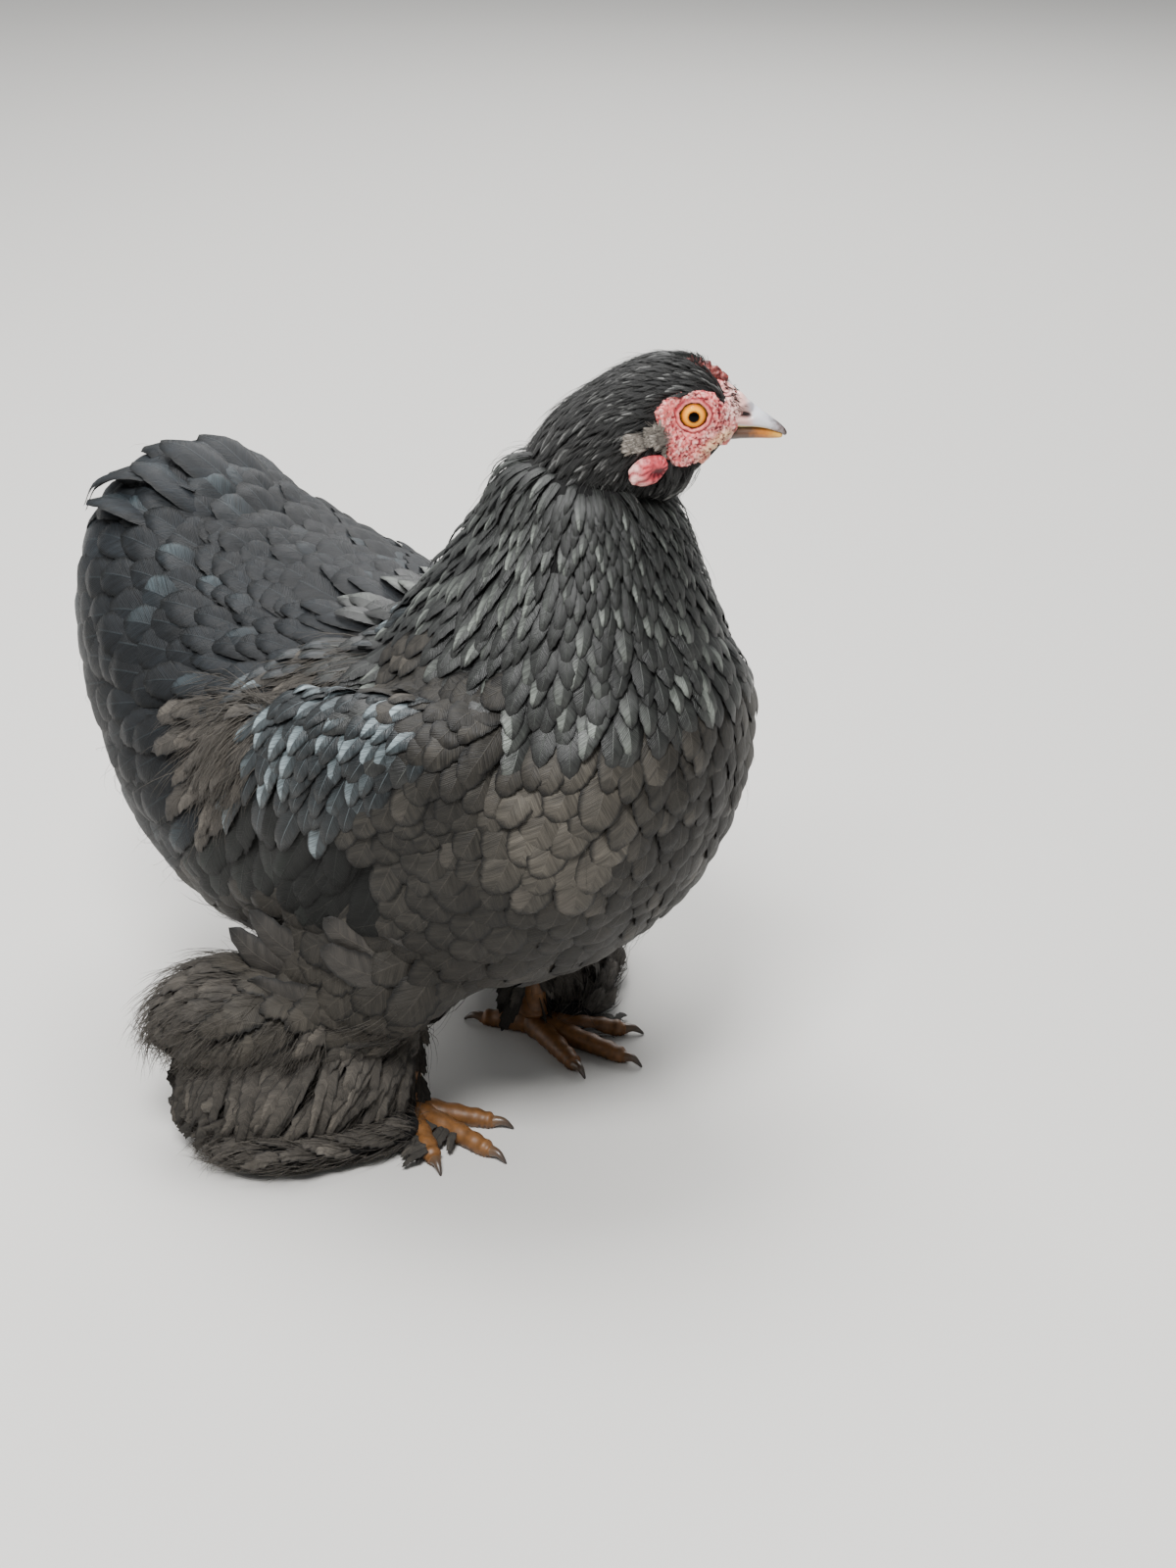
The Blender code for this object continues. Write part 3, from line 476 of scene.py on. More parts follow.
# Plumage by kind: its name, then the colours of ground, streaks of painted sheen, brown parts, rim
# (painted shade) and the painted highlight, which also colours the shaft's paler line, then roughness,
# barb spacing in mm, the share of feathers that get the painted highlight, and the strength of the real
# specular highlights.
PLUMAGE = {
    "body": ("breast and flank feathers", "#141413", "#4c4841", "#26221d", "#040404", "#544f48",
             0.48, 0.7, 0.15, 0.2),
    "back": ("back and tail feathers", "#0b0d0e", "#20252a", "#151312", "#020303", "#3b4549",
             0.44, 0.7, 0.2, 0.16),
    "hackle": ("hackle feathers", "#0e0f0f", "#313431", "#1b1917", "#030303", "#868c84",
               0.4, 0.7, 0.45, 0.38),
    "wing": ("wing coverts, glossy with painted highlights", "#0f1112", "#272e31", "#1d1b1a", "#030404", "#95a4a9",
             0.38, 0.7, 0.48, 0.3),
    "quill": ("wing quills", "#0b0c0b", "#1d201e", "#151412", "#040404", "#2f3330",
              0.5, 0.7, 0.4, 0.15),
    "leg": ("leg feathers, grey-brown", "#181715", "#3c3833", "#262320", "#050504", "#5c564d",
            0.5, 0.7, 0.4, 0.35),
    "fluff": ("fluff, loose barbs", "#141312", "#4a4640", "#23201d", "#1c1a18", "#5e5850",
              0.6, 0.8, 0.5, 0.3),
    "crown": ("crown feathers", "#0c0c0c", "#2c2c2b", "#181615", "#090909", "#8b8b88",
              0.44, 0.5, 0.45, 0.25),
    "ear": ("ear coverts, grey", "#3a3733", "#9a9288", "#5c564f", "#4a4640", "#b8b0a6",
            0.65, 0.5, 0.5, 0.3),
}
# The half of a feather that looks this way, up and back towards the light, is the one that gets the
# painted highlight.
GLINT_WAY = np.array((-0.6, 0, 0.8))
PUPIL_SHARE = PUPIL_RADIUS / EYE_RADIUS
# The eye's colours from the middle of the pupil outward, by share of the eye's radius. The last two
# stops, the band just inside the lids, are painted shade cast by the lids.
EYE_STOPS = [
    (0.0, "#030303"), (PUPIL_SHARE - 0.01, "#050403"), (PUPIL_SHARE + 0.03, "#a85610"),
    (0.45, "#ffae2c"), (0.58, "#f4901a"), (0.65, "#b86014"), (0.71, "#421a08"), (0.77, "#140a06"),
]
# The colours of beak and claws from base to tip.
UPPER_BEAK_STOPS = [
    (0.0, "#dcc4bc"), (0.35, "#e2e2e6"), (0.72, "#d2d2d8"), (0.88, "#8a7e7e"), (1.0, "#4a3e3a")]
LOWER_BEAK_STOPS = [(0.0, "#3a302a"), (0.45, "#54392a"), (0.72, "#b06a20"), (1.0, "#e2ac48")]
CLAW_STOPS = [(0.0, "#6a5038"), (0.6, "#4a3a2c"), (1.0, "#2c2420")]

SIDES = (("left", 1), ("right", -1))
# A place or a way multiplied with each of these is the one for the left and the right side.
FLIPS = np.array(((1, 1, 1), (1, -1, 1)))
SKIN_NODES = ["torso", "neck", "tail", "head"] + [
    f"{part}_{label}" for part in ("wing", "thigh", "shank", "foot") for label, _ in SIDES
]

# The lamps, the floor and the camera's distance are in metres.
# Each lamp: name, place, size, power in watts.
LAMPS = [
    ("key", (0.45, -0.85, 1.5), 0.5, 49.0),
    ("top", (-0.35, 0.2, 1.6), 0.9, 38.0),
    ("fill", (-1.3, -0.9, 0.8), 1.0, 8.0),
    ("rim", (-0.6, 1.3, 1.0), 1.0, 16.0),
]
LAMP_TARGET = Vector((0.0, 0.0, 0.12))
WORLD_STRENGTH = 0.36
FLOOR_REACH = 4.0
CAMERA_AZIMUTH = math.radians(38)
CAMERA_HEIGHT = math.radians(25)
CAMERA_DISTANCE = 1.0
CAMERA_AIM = (0.0, 0.0, 130.0)
CAMERA_LENS = 69.0
CAMERA_SENSOR = 36.0
# How far the hen stands off the picture's middle, in pixels of its 1600 high frame.
CAMERA_SHIFT = (108 / 1600, -44 / 1600)


def middle(node):
    low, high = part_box(node)
    return np.array((low + high) / 2)


SHIFT = (middle("eye_left") + middle("eye_right")) / 2 / MM - HEAD_PLACE


def unit(vectors):
    return vectors / np.maximum(np.linalg.norm(vectors, axis=-1, keepdims=True), 1e-9)


def laid(ways, normals):
    """Directions with what they have along the normals taken out."""
    return ways - normals * (ways * normals).sum(-1, keepdims=True)


def smooth(low, high, value):
    """0 below low, 1 above high and a soft step between; low may be above high."""
    share = np.clip((value - low) / (high - low), 0, 1)
    return share * share * (3 - 2 * share)


def turned(points, angle):
    """Points or directions turned about +Z."""
    c, s = math.cos(angle), math.sin(angle)
    x, y, z = np.moveaxis(np.asarray(points, float), -1, 0)
    return np.stack((x * c - y * s, x * s + y * c, z), -1)


def from_head(points):
    return turned(points, HEAD_YAW) + HEAD_PLACE


def to_head(points):
    return turned(points - HEAD_PLACE, -HEAD_YAW)


def per_point(shape, *values):
    """Values brought to one shape and laid side by side, a row for each point."""
    return np.stack([np.broadcast_to(v, shape) for v in values], -1).reshape(-1, len(values))


def turns(count):
    """Angles spread evenly round a circle."""
    return np.arange(count) / count * math.tau


def ring_places(rings):
    """Where a form's rings stand along it, closer together at its two ends."""
    even = np.arange(1, rings) / rings
    return even - RING_CROWDING * np.sin(math.tau * even)


# The corners of a quad the other way round, from the same first one.
BACKWARD = (0, 3, 2, 1)


def tube(rings, sides):
    """The faces of rings of points: quads between them, and triangles that close the two ends
    on two points more."""
    index = np.arange(rings * sides).reshape(rings, sides)
    nearer = np.roll(index, -1, axis=1)
    quads = np.stack((index[:-1], index[1:], nearer[1:], nearer[:-1]), -1).reshape(-1, 4)
    first = np.full(sides, index.size)
    tris = np.concatenate((
        np.stack((index[0], nearer[0], first), -1),
        np.stack((nearer[-1], index[-1], first + 1), -1),
    ))
    return quads, tris


def repeated(faces, count, size):
    """The same faces for each of so many sets of points of one size."""
    return (faces + (np.arange(count) * size)[:, None, None]).reshape(-1, faces.shape[1])


class Form:
    """A closed smooth body lofted through stations."""

    def __init__(self, rows, side=(0, 1, 0), fixed=None):
        self.rows = np.array(rows, float)
        self.side = np.array(side, float)
        self.fixed = None if fixed is None else np.array(fixed, float)

    def row(self, t):
        """The stations at t, from 0 to 1, on a Catmull-Rom curve with round ends."""
        spans = len(self.rows) - 1
        place = np.clip(np.asarray(t, float), 0, 1) * spans
        i = np.minimum(place.astype(int), spans - 1)
        u = (place - i)[:, None]
        a = self.rows[np.maximum(i - 1, 0)]
        b = self.rows[i]
        c = self.rows[i + 1]
        d = self.rows[np.minimum(i + 2, spans)]
        curved = (b * 2 + (c - a) * u + (a * 2 - b * 5 + c * 4 - d) * u * u
                  + (b * 3 - c * 3 + d - a) * u * u * u) * 0.5
        for ends, share, full in ((i == 0, u, c), (i == spans - 1, 1 - u, b)):
            curved[ends, 3:] = (full[:, 3:] * np.sqrt(share))[ends]
        return curved

    def axes(self, t):
        if self.fixed is not None:
            along = np.tile(self.fixed, (len(t), 1))
            across = np.tile(self.side, (len(t), 1))
        else:
            step = 0.5 / (len(self.rows) - 1)
            along = unit(self.row(t + step)[:, :3] - self.row(t - step)[:, :3])
            across = unit(self.side - along * (along @ self.side)[:, None])
        return along, across, np.cross(across, along)

    def points(self, t, angle, lift=0.0):
        row = self.row(t)
        _, across, up = self.axes(t)
        wide = np.maximum(row[:, 3] + lift, 0.05) * np.cos(angle)
        high = np.maximum(row[:, 4] + lift, 0.05) * np.sin(angle)
        return row[:, :3] + across * wide[:, None] + up * high[:, None]

    def grid(self, rings, sides, lift=0.0):
        """The closed surface: its points, quads, and the triangles at its ends."""
        places, turn = np.meshgrid(ring_places(rings), turns(sides), indexing="ij")
        ends = np.array((0.0, 1.0))
        caps = self.row(ends)[:, :3] + self.axes(ends)[0] * np.array(((-lift,), (lift,)))
        points = np.concatenate((self.points(places.ravel(), turn.ravel(), lift), caps))
        return points, *tube(rings - 1, sides)


def mirrored(rows):
    return [(x, -y, z, w, h) for x, y, z, w, h in rows]


def joined(parts):
    """One set of points, quads and triangles from several, and which part each face is of."""
    starts = np.cumsum([0] + [len(part[0]) for part in parts])
    quads = [np.reshape(part[1], (-1, 4)).astype(int) + k for part, k in zip(parts, starts)]
    tris = [np.reshape(part[2], (-1, 3)).astype(int) + k for part, k in zip(parts, starts)]
    owners = [np.full(len(f), n) for faces in (quads, tris) for n, f in enumerate(faces)]
    points = [part[0] for part in parts]
    return tuple(np.concatenate(rows) for rows in (points, quads, tris, owners))


def make_mesh(name, points, quads, tris):
    mesh = bpy.data.meshes.new(name)
    placed = ((points + SHIFT) * MM).astype(np.float32)
    mesh.vertices.add(len(placed))
    mesh.vertices.foreach_set("co", placed.ravel())
    corners = np.concatenate((np.ravel(quads), np.ravel(tris))).astype(np.int32)
    mesh.loops.add(len(corners))
    mesh.loops.foreach_set("vertex_index", corners)
    sizes = np.concatenate((np.full(len(quads), 4), np.full(len(tris), 3)))
    starts = np.concatenate(((0,), np.cumsum(sizes)[:-1])).astype(np.int32)
    mesh.polygons.add(len(sizes))
    mesh.polygons.foreach_set("loop_start", starts)
    mesh.update(calc_edges=True)
    return mesh


def store(mesh, name, values):
    """Keeps three numbers at each point, for a material to read."""
    kept = mesh.attributes.new(name, "FLOAT_VECTOR", "POINT")
    kept.data.foreach_set("vector", values.astype(np.float32).ravel())


def make_piece(name, shape, materials, nodes=(), zone=None):
    """A piece of the hen that rides on her one body and stands for the solids named. Its shape
    is points, quads and triangles, and its zone is what its material reads at each point."""
    piece = bpy.data.objects.new(name, make_mesh(name, *shape))
    bpy.context.scene.collection.objects.link(piece)
    for made in materials:
        piece.data.materials.append(made)
    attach(piece, "root")
    if nodes:
        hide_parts(*nodes)
    if zone is not None:
        store(piece.data, "zone", zone)
    return piece


def remeshed(points, quads, tris, voxel, rounds):
    """The surface of the union, in even faces and softened."""
    work = bpy.data.objects.new("work", make_mesh("work", points, quads, tris))
    bpy.context.scene.collection.objects.link(work)
    remesh = work.modifiers.new("Union", "REMESH")
    remesh.mode = "VOXEL"
    remesh.voxel_size = voxel * MM
    soften = work.modifiers.new("Soften", "SMOOTH")
    soften.factor = 0.5
    soften.iterations = rounds
    mesh = work.evaluated_get(bpy.context.evaluated_depsgraph_get()).to_mesh()
    flat = np.zeros(len(mesh.vertices) * 3, np.float32)
    mesh.vertices.foreach_get("co", flat)
    corners = np.zeros(len(mesh.loops), np.int32)
    mesh.loops.foreach_get("vertex_index", corners)
    bpy.data.objects.remove(work, do_unlink=True)
    return flat.reshape(-1, 3) / MM - SHIFT, corners.reshape(-1, 4), np.zeros((0, 3), int)


def vertex_normals(points, quads):
    a, b, c, d = (points[quads[:, k]] for k in range(4))
    flat = np.cross(c - a, d - b)
    normals = np.zeros_like(points)
    for k in range(4):
        np.add.at(normals, quads[:, k], flat)
    return unit(normals)


def octaves(points, size, count=3):
    """Soft noise about zero, its coarsest lumps of the size given."""
    return np.array([
        noise.fractal(Vector(p) / size, 1.0, 2.0, count) for p in points
    ])


class Skin:
    """A surface that feathers root on."""

    def __init__(self, points, quads):
        self.points = points
        self.quads = quads
        self.tree = BVHTree.FromPolygons(points.tolist(), quads.tolist())

    def nearest(self, points):
        found = np.zeros_like(points)
        normals = np.zeros_like(points)
        for k, p in enumerate(points.tolist()):
            place, normal, _, _ = self.tree.find_nearest(p)
            found[k] = place
            normals[k] = normal
        return found, normals

    def scatter(self, count, keep):
        """Random points, even over the surface, where keep says so."""
        a, b, c, d = (self.points[self.quads[:, k]] for k in range(4))
        area = np.linalg.norm(np.cross(c - a, d - b), axis=1) * keep((a + b + c + d) / 4)
        face = draw.choice(len(area), count, p=area / area.sum())
        u, v = draw.random((2, count, 1))
        low = a[face] * (1 - u) + b[face] * u
        high = d[face] * (1 - u) + c[face] * u
        return low * (1 - v) + high * v


def tree_of(points):
    tree = KDTree(len(points))
    for k, p in enumerate(points.tolist()):
        tree.insert(p, k)
    tree.balance()
    return tree


def spread(skin, keep, spacing, count, rounds=3):
    """Places for feathers, evenly apart by the spacing that holds at each."""
    cloud = skin.scatter(count, keep)
    reach = spacing(cloud)
    tree = tree_of(cloud)
    free = np.ones(count, bool)
    chosen = []
    for k in range(count):
        if free[k]:
            chosen.append(k)
            for _, other, _ in tree.find_range(cloud[k], reach[k]):
                free[other] = False
    places = cloud[chosen]
    for _ in range(rounds):
        tree = tree_of(places)
        owner = np.array([tree.find(p)[1] for p in cloud.tolist()])
        total = np.bincount(owner, minlength=len(places))[:, None]
        moved = np.stack([
            np.bincount(owner, weights=column, minlength=len(places)) for column in cloud.T
        ], -1)
        places = np.where(total > 0, moved / np.maximum(total, 1), places)
        places, _ = skin.nearest(places)
    return places[keep(places)]


class Lie:
    """The field that says, at any place, which way feathers point and what they are like."""

    def __init__(self, guides, near):
        both = [
            (tract, place * flip, unit(way * flip))
            for tract, place, way in guides for flip in (FLIPS if place[1] else FLIPS[:1])
        ]
        self.names = np.array([tract for tract, _, _ in both])
        self.places = np.array([place for _, place, _ in both], float)
        self.ways = np.array([way for _, _, way in both])
        self.kinds = np.array([TRACTS[tract] for tract in self.names], float)
        self.near = near

    def weights(self, points):
        gap = np.linalg.norm(points[:, None] - self.places[None], axis=-1)
        share = 1 / (gap * gap + self.near * self.near) ** 2
        return share / share.sum(1, keepdims=True)

    def spacing(self, points, base, closer=0.0):
        """How far apart feathers root: by their size, and closer where they are pointed."""
        length, width, _, _, pointed, _, _ = (self.weights(points) @ self.kinds).T
        return (base - closer * pointed) * np.sqrt(length * width)

    def ask(self, points, normals):
        share = self.weights(points)
        return unit(laid(share @ self.ways, normals)), share @ self.kinds


def unwrap(points, tile):
    """Where a root lies on an unwrap of the skin: each part is rolled out round its axis."""
    x, y, z = points.T
    if tile == "body":
        turn = np.arctan2(y, z - 115) / math.tau + 0.5
        return np.stack((0.02 + 0.96 * turn, 0.02 + 0.46 * (x + 165) / 262), -1)
    if tile == "neck":
        turn = np.arctan2(y, x - 36) / math.tau + 0.5
        return np.stack((0.02 + 0.46 * turn, 0.52 + 0.46 * (z - 115) / 165), -1)
    if tile == "head":
        x, y, z = to_head(points).T
        turn = np.arctan2(y, z + 8) / math.tau + 0.5
        return np.stack((0.52 + 0.46 * turn, 0.78 + 0.2 * (x + 55) / 75), -1)
    turn = np.arctan2(y - np.sign(y) * 60, x + 20) / math.tau + 0.5
    left = 0.52 + 0.23 * (y > 0)
    return np.stack((left + 0.21 * turn, 0.52 + 0.22 * z / 110), -1)


def vane_template(rows, columns):
    """A closed thin blade: a fine upper face, a plain lower one, one tip."""
    steps = np.arange(rows) / rows
    along = 1 - (1 - steps) ** 1.35
    across = np.linspace(-1, 1, columns + 1)
    grid = np.arange(rows * (columns + 1)).reshape(rows, columns + 1)
    tip = grid.size
    under = tip + 1 + np.arange(rows)
    s = np.concatenate((np.repeat(along, columns + 1), (1.0,), along))
    c = np.concatenate((np.tile(across, rows), (0.0,), np.zeros(rows)))
    below = np.concatenate((np.zeros(tip + 1), np.ones(rows)))
    left, right = grid[:, 0], grid[:, -1]
    quads = np.concatenate((
        np.stack((grid[:-1, :-1], grid[1:, :-1], grid[1:, 1:], grid[:-1, 1:]), -1).reshape(-1, 4),
        np.stack((left[:-1], under[:-1], under[1:], left[1:]), -1),
        np.stack((under[:-1], right[:-1], right[1:], under[1:]), -1),
    ))
    ends = np.full(columns, tip)
    foot = np.full(columns, under[0])
    tris = np.concatenate((
        np.stack((grid[-1, :-1], ends, grid[-1, 1:]), -1),
        np.stack((grid[0, :-1], grid[0, 1:], foot), -1),
        np.array(((left[-1], under[-1], tip), (under[-1], right[-1], tip))),
    ))
    edge = np.zeros(len(s), bool)
    edge[np.concatenate((left, right, grid[0], (tip,)))] = True
    row = np.concatenate((np.repeat(np.arange(rows), columns + 1), (rows,), np.arange(rows)))
    return {"s": s, "c": c, "below": below, "row": row, "edge": edge, "quads": quads, "tris": tris}


TEMPLATES = {
    "large": vane_template(16, 6),
    "middle": vane_template(10, 4),
    "small": vane_template(5, 2),
}


def paths(skin, roots, ways, lengths):
    """Four stations along each feather's bed on the skin, with the normals there."""
    place, normal = skin.nearest(roots)
    way = laid(ways, normal)
    places, normals = [place], [normal]
    for _ in range(3):
        place, normal = skin.nearest(places[-1] + unit(way) * lengths[:, None] / 3)
        way = laid(way, normal)
        places.append(place)
        normals.append(normal)
    return np.stack(places, 1), np.stack(normals, 1)


def cubic(stations, s):
    """The smooth curve through four even stations, at the shares s."""
    a, b, c, d = (stations[:, None, k] for k in range(4))
    s = s[None, :, None] * 3
    return (
        a * (s - 1) * (s - 2) * (s - 3) / -6 + b * s * (s - 2) * (s - 3) / 2
        + c * s * (s - 1) * (s - 3) / -2 + d * s * (s - 1) * (s - 2) / 6
    )


def outline(s, pointed):
    """A vane's width along it, from a round breast feather to a narrow hackle."""
    rounded = np.where(
        s < 0.55,
        0.45 + 0.55 * np.sin(np.clip(s / 0.55, 0, 1) * math.pi / 2),
        np.sqrt(np.clip(1 - ((s - 0.55) / 0.45) ** 2, 0, 1)),
    )
    lance = np.where(
        s < 0.4,
        0.6 + 0.4 * np.sin(np.clip(s / 0.4, 0, 1) * math.pi / 2),
        np.clip(1 - (np.clip(s - 0.4, 0, 1) / 0.6) ** 1.7, 0, 1) ** 0.8,
    )
    return rounded * (1 - pointed) + lance * pointed


def bowed(roots, tips, bows):
    """Four stations from each root to its tip, on a line that bows aside."""
    roots, tips, bows = (np.asarray(v, float)[:, None] for v in (roots, tips, bows))
    share = np.linspace(0, 1, 4)[:, None]
    return roots + (tips - roots) * share + bows * 2 * share * (1 - share)


def spans(lines):
    return np.linalg.norm(np.diff(lines, axis=1), axis=-1).sum(1)


def placed(tile, rows, out, traits, mirror=False, size="large"):
    """Feathers given one by one. Their upper faces look outward, and traits are how brown,
    pointed, loose and pale they are."""
    flips = FLIPS[:1 + mirror]
    lines = bowed(*([row[k] for row in rows] for k in range(3)))
    lines = np.concatenate([lines * flip for flip in flips])
    along = unit(np.gradient(lines, axis=1))
    face = np.repeat(flips * out, len(rows), axis=0)[:, None]
    normals = unit(laid(face, along))
    widths = np.tile([row[3] for row in rows], len(flips))
    facts = per_point(len(lines), spans(lines), widths, 0.6, *traits)
    return feathers(tile, (lines, normals), facts, size, sink=0.4, cup=0.1)


def feathers(tile, beds, facts, size="large", sink=1.2, thick=0.3, cup=0.075):
    """Many feathers in one set. beds are their stations and normals, and facts holds one row
    for each: length, width, rise, brown, pointed, loose, pale."""
    template = TEMPLATES[size]
    s, c, row = template["s"], template["c"], template["row"]
    stations, bed_normals = beds
    count, shape = len(facts), (len(facts), len(s))
    length, width, rise, brown, pointed, loose, pale = facts.T[:, :, None]
    # The shaft rises from its bed, sways and rolls.
    steps = np.unique(s)
    normal = unit(cubic(bed_normals, steps))
    swell = draw.uniform(0.85, 1.1, (count, 1))
    height = -sink + (rise * swell + sink) * (1 - (1 - steps) ** 1.7)
    height = height - 0.05 * length * smooth(0.75, 1.0, steps)
    centre = cubic(stations, steps) + normal * height[..., None]
    along = unit(np.gradient(centre, axis=1))
    side = unit(np.cross(normal, along))
    sway = draw.normal(0, 0.035, (count, 1, 1)) * length[..., None]
    centre = centre + side * sway * steps[:, None] ** 2
    up = np.cross(along, side)
    roll = draw.uniform(-FEATHER_LEAN, FEATHER_LEAN, (count, 1, 1)) * steps[:, None]
    side, up = side * np.cos(roll) + up * np.sin(roll), up * np.cos(roll) - side * np.sin(roll)
    # The vane is cupped, and frayed at its edges as far as it is loose.
    on_edge = np.abs(c) > 0.99
    wild = draw.normal(0, 1, (count, int(row.max()) + 1))[:, row]
    wild = np.where(c > 0, wild, np.roll(wild, 3, axis=0))
    split = np.clip(np.abs(wild) - 1.5, 0, 1.2) * (0.05 + 0.25 * loose)
    tooth = np.where(row % 2 == 0, 1.0, -1.0)
    frayed = ((0.012 + 0.09 * loose) * tooth + 0.02 * wild - split) * on_edge
    across = width / 2 * outline(s, pointed) * (1 + frayed) * c
    bow = cup * width * outline(s, pointed) * (0.45 * c * c + 0.55 * c ** 6)
    skew = np.where(on_edge, (0.004 + 0.03 * loose) * tooth, 0.0) * length * (s > 0.05)
    pick = np.searchsorted(steps, s)
    points = (
        centre[:, pick] + side[:, pick] * across[..., None] + along[:, pick] * skew[..., None]
        - up[:, pick] * (bow + template["below"] * thick)[..., None]
    )
    tone = draw.random((count, 1))
    # Which way each vane is turned, so that its half facing GLINT_WAY, towards the light, carries the
    # painted highlight.
    upper = np.sign(side[:, 2] @ GLINT_WAY + 1e-6)[:, None]
    patch = np.stack((c, s * 2 - 1), -1) * BAKE_PATCH / 2
    return {
        "points": inside_box(points).reshape(-1, 3),
        "quads": repeated(template["quads"], count, len(s)),
        "tris": repeated(template["tris"], count, len(s)),
        "vane": per_point(shape, c * upper, s, tone),
        "barb": per_point(shape, s * length - np.abs(across) * 0.9, across, tone * 50),
        "tint": per_point(shape, brown, loose, pale),
        "bake": (unwrap(stations[:, 0], tile)[:, None] + patch).reshape(-1, 2),
        "edge": np.tile(template["edge"], count),
    }


# The hen's own box less a margin, and how far inside it feathers begin to bend back.
BOX_MARGIN = np.array((0.3, 0.3, 0.2))
BOX_LOW = np.array(cad_box[0]) / MM - SHIFT + BOX_MARGIN
BOX_HIGH = np.array(cad_box[1]) / MM - SHIFT - BOX_MARGIN
BOX_ROOM = np.array((2.5, 2.5, 0.8))


def inside_box(points):
    """Feather tips that would leave the hen's own box are bent back within it."""
    over = points - (BOX_HIGH - BOX_ROOM)
    bent = BOX_ROOM * np.exp(-np.maximum(over, 0) / BOX_ROOM)
    points = np.where(over > 0, BOX_HIGH - bent, points)
    under = (BOX_LOW + BOX_ROOM) - points
    bent = BOX_ROOM * np.exp(-np.maximum(under, 0) / BOX_ROOM)
    return np.where(under > 0, BOX_LOW + bent, points)


def strands(tile, roots, ways, normals, lengths, thick, tints, curl=0.2, rise=0.24):
    """Single loose barbs: thin three-sided spikes that bow over as they lie back. Their tints
    are how brown, loose and pale they are."""
    count, tip = len(roots), BARB_ROWS * 3
    s = np.linspace(0, 1, BARB_ROWS + 1)[:, None]
    bend = draw.normal(0, curl, (count, 1, 3))
    out = normals[:, None] * rise * (s - 1.05 * s ** 2) * 2
    line = roots[:, None] - normals[:, None] * 0.8 + lengths[:, None, None] * (
        ways[:, None] * s + out + bend * s ** 2 * 0.5)
    along = unit(np.gradient(line, axis=1))
    side = unit(np.cross(normals[:, None], along))[:, :-1, None]
    up = np.cross(along[:, :-1, None], side)
    turn = turns(3)[:, None]
    radius = thick[:, None, None, None] * (1 - 0.75 * s[:-1, :, None])
    ring = line[:, :-1, None] + (side * np.cos(turn) + up * np.sin(turn)) * radius
    points = np.concatenate((ring.reshape(count, -1, 3), line[:, -1:]), 1)
    ends = [(tip - 3 + k, tip - 3 + (k + 1) % 3, tip) for k in range(3)]
    share = np.append(np.repeat(s[:-1], 3), 1.0)
    shape = (count, tip + 1)
    tone = draw.random((count, 1))
    patch = np.stack((share * 0, share * BAKE_PATCH), -1)
    return {
        "points": inside_box(points).reshape(-1, 3),
        "quads": repeated(tube(BARB_ROWS, 3)[0][:, BACKWARD], count, tip + 1),
        "tris": repeated(np.array(ends + [(0, 2, 1)]), count, tip + 1),
        "vane": per_point(shape, 0, share * 0.8, tone),
        "barb": per_point(shape, share * lengths[:, None], 0, tone * 50),
        "tint": per_point(shape, *(np.reshape(tint, (-1, 1)) for tint in tints)),
        "bake": (unwrap(roots, tile)[:, None] + patch).reshape(-1, 2),
        "edge": np.zeros(count * (tip + 1), bool),
    }


def coat_piece(name, parts, made):
    """Joins what feathers() and strands() gave into one piece of plumage."""
    whole = {key: np.concatenate([part[key] for part in parts]) for key in parts[0]}
    shape = joined([(part["points"], part["quads"], part["tris"]) for part in parts])[:3]
    mesh = make_piece(name, shape, [made]).data
    for key in ("vane", "barb", "tint"):
        store(mesh, key, whole[key])
    corners = np.zeros(len(mesh.loops), np.int32)
    mesh.loops.foreach_get("vertex_index", corners)
    bake = whole["bake"][corners].astype(np.float32)
    mesh.uv_layers.new(name="OFBake").data.foreach_set("uv", bake.ravel())
    ends = np.zeros(len(mesh.edges) * 2, np.int32)
    mesh.edges.foreach_get("vertices", ends)
    sharp = whole["edge"][ends.reshape(-1, 2)].all(1)
    mesh.attributes.new("sharp_edge", "BOOLEAN", "EDGE").data.foreach_set("value", sharp)


def linear(colour):
    """An sRGB hex colour as the linear colour that a shader takes."""
    channels = [int(colour[k:k + 2], 16) / 255 for k in (1, 3, 5)]
    toned = [c / 12.92 if c <= 0.04045 else ((c + 0.055) / 1.055) ** 2.4 for c in channels]
    return (*toned, 1.0)


def give(socket, value):
    """Sets a shader's input to a value or hex colour, or links it to a socket or a node, of
    which it takes the first output in use."""
    if isinstance(value, bpy.types.Node):
        value = next(out for out in value.outputs if out.enabled)
    if isinstance(value, bpy.types.NodeSocket):
        socket.id_data.links.new(value, socket)
    else:
        socket.default_value = linear(value) if isinstance(value, str) else value


def node(tree, kind, inputs=(), stops=(), **settings):
    """Adds a shader node with its settings, its inputs by place or name, and its colour stops."""
    made = tree.nodes.new("ShaderNode" + kind)
    for key, value in settings.items():
        setattr(made, key, value)
    for key, value in inputs.items() if isinstance(inputs, dict) else enumerate(inputs):
        give(made.inputs[key], value)
    if stops:
        elements = made.color_ramp.elements
        while len(elements) < len(stops):
            elements.new(0.5)
        for element, (place, colour) in zip(elements, stops):
            element.position = place
            element.color = linear(colour)
    return made


def new_material(name, **inputs):
    """A new material, and the function that adds nodes to it."""
    made = bpy.data.materials.new(name)
    made.use_nodes = True
    for key, value in inputs.items():
        give(made.node_tree.nodes["Principled BSDF"].inputs[key.replace("_", " ")], value)
    return made, partial(node, made.node_tree)


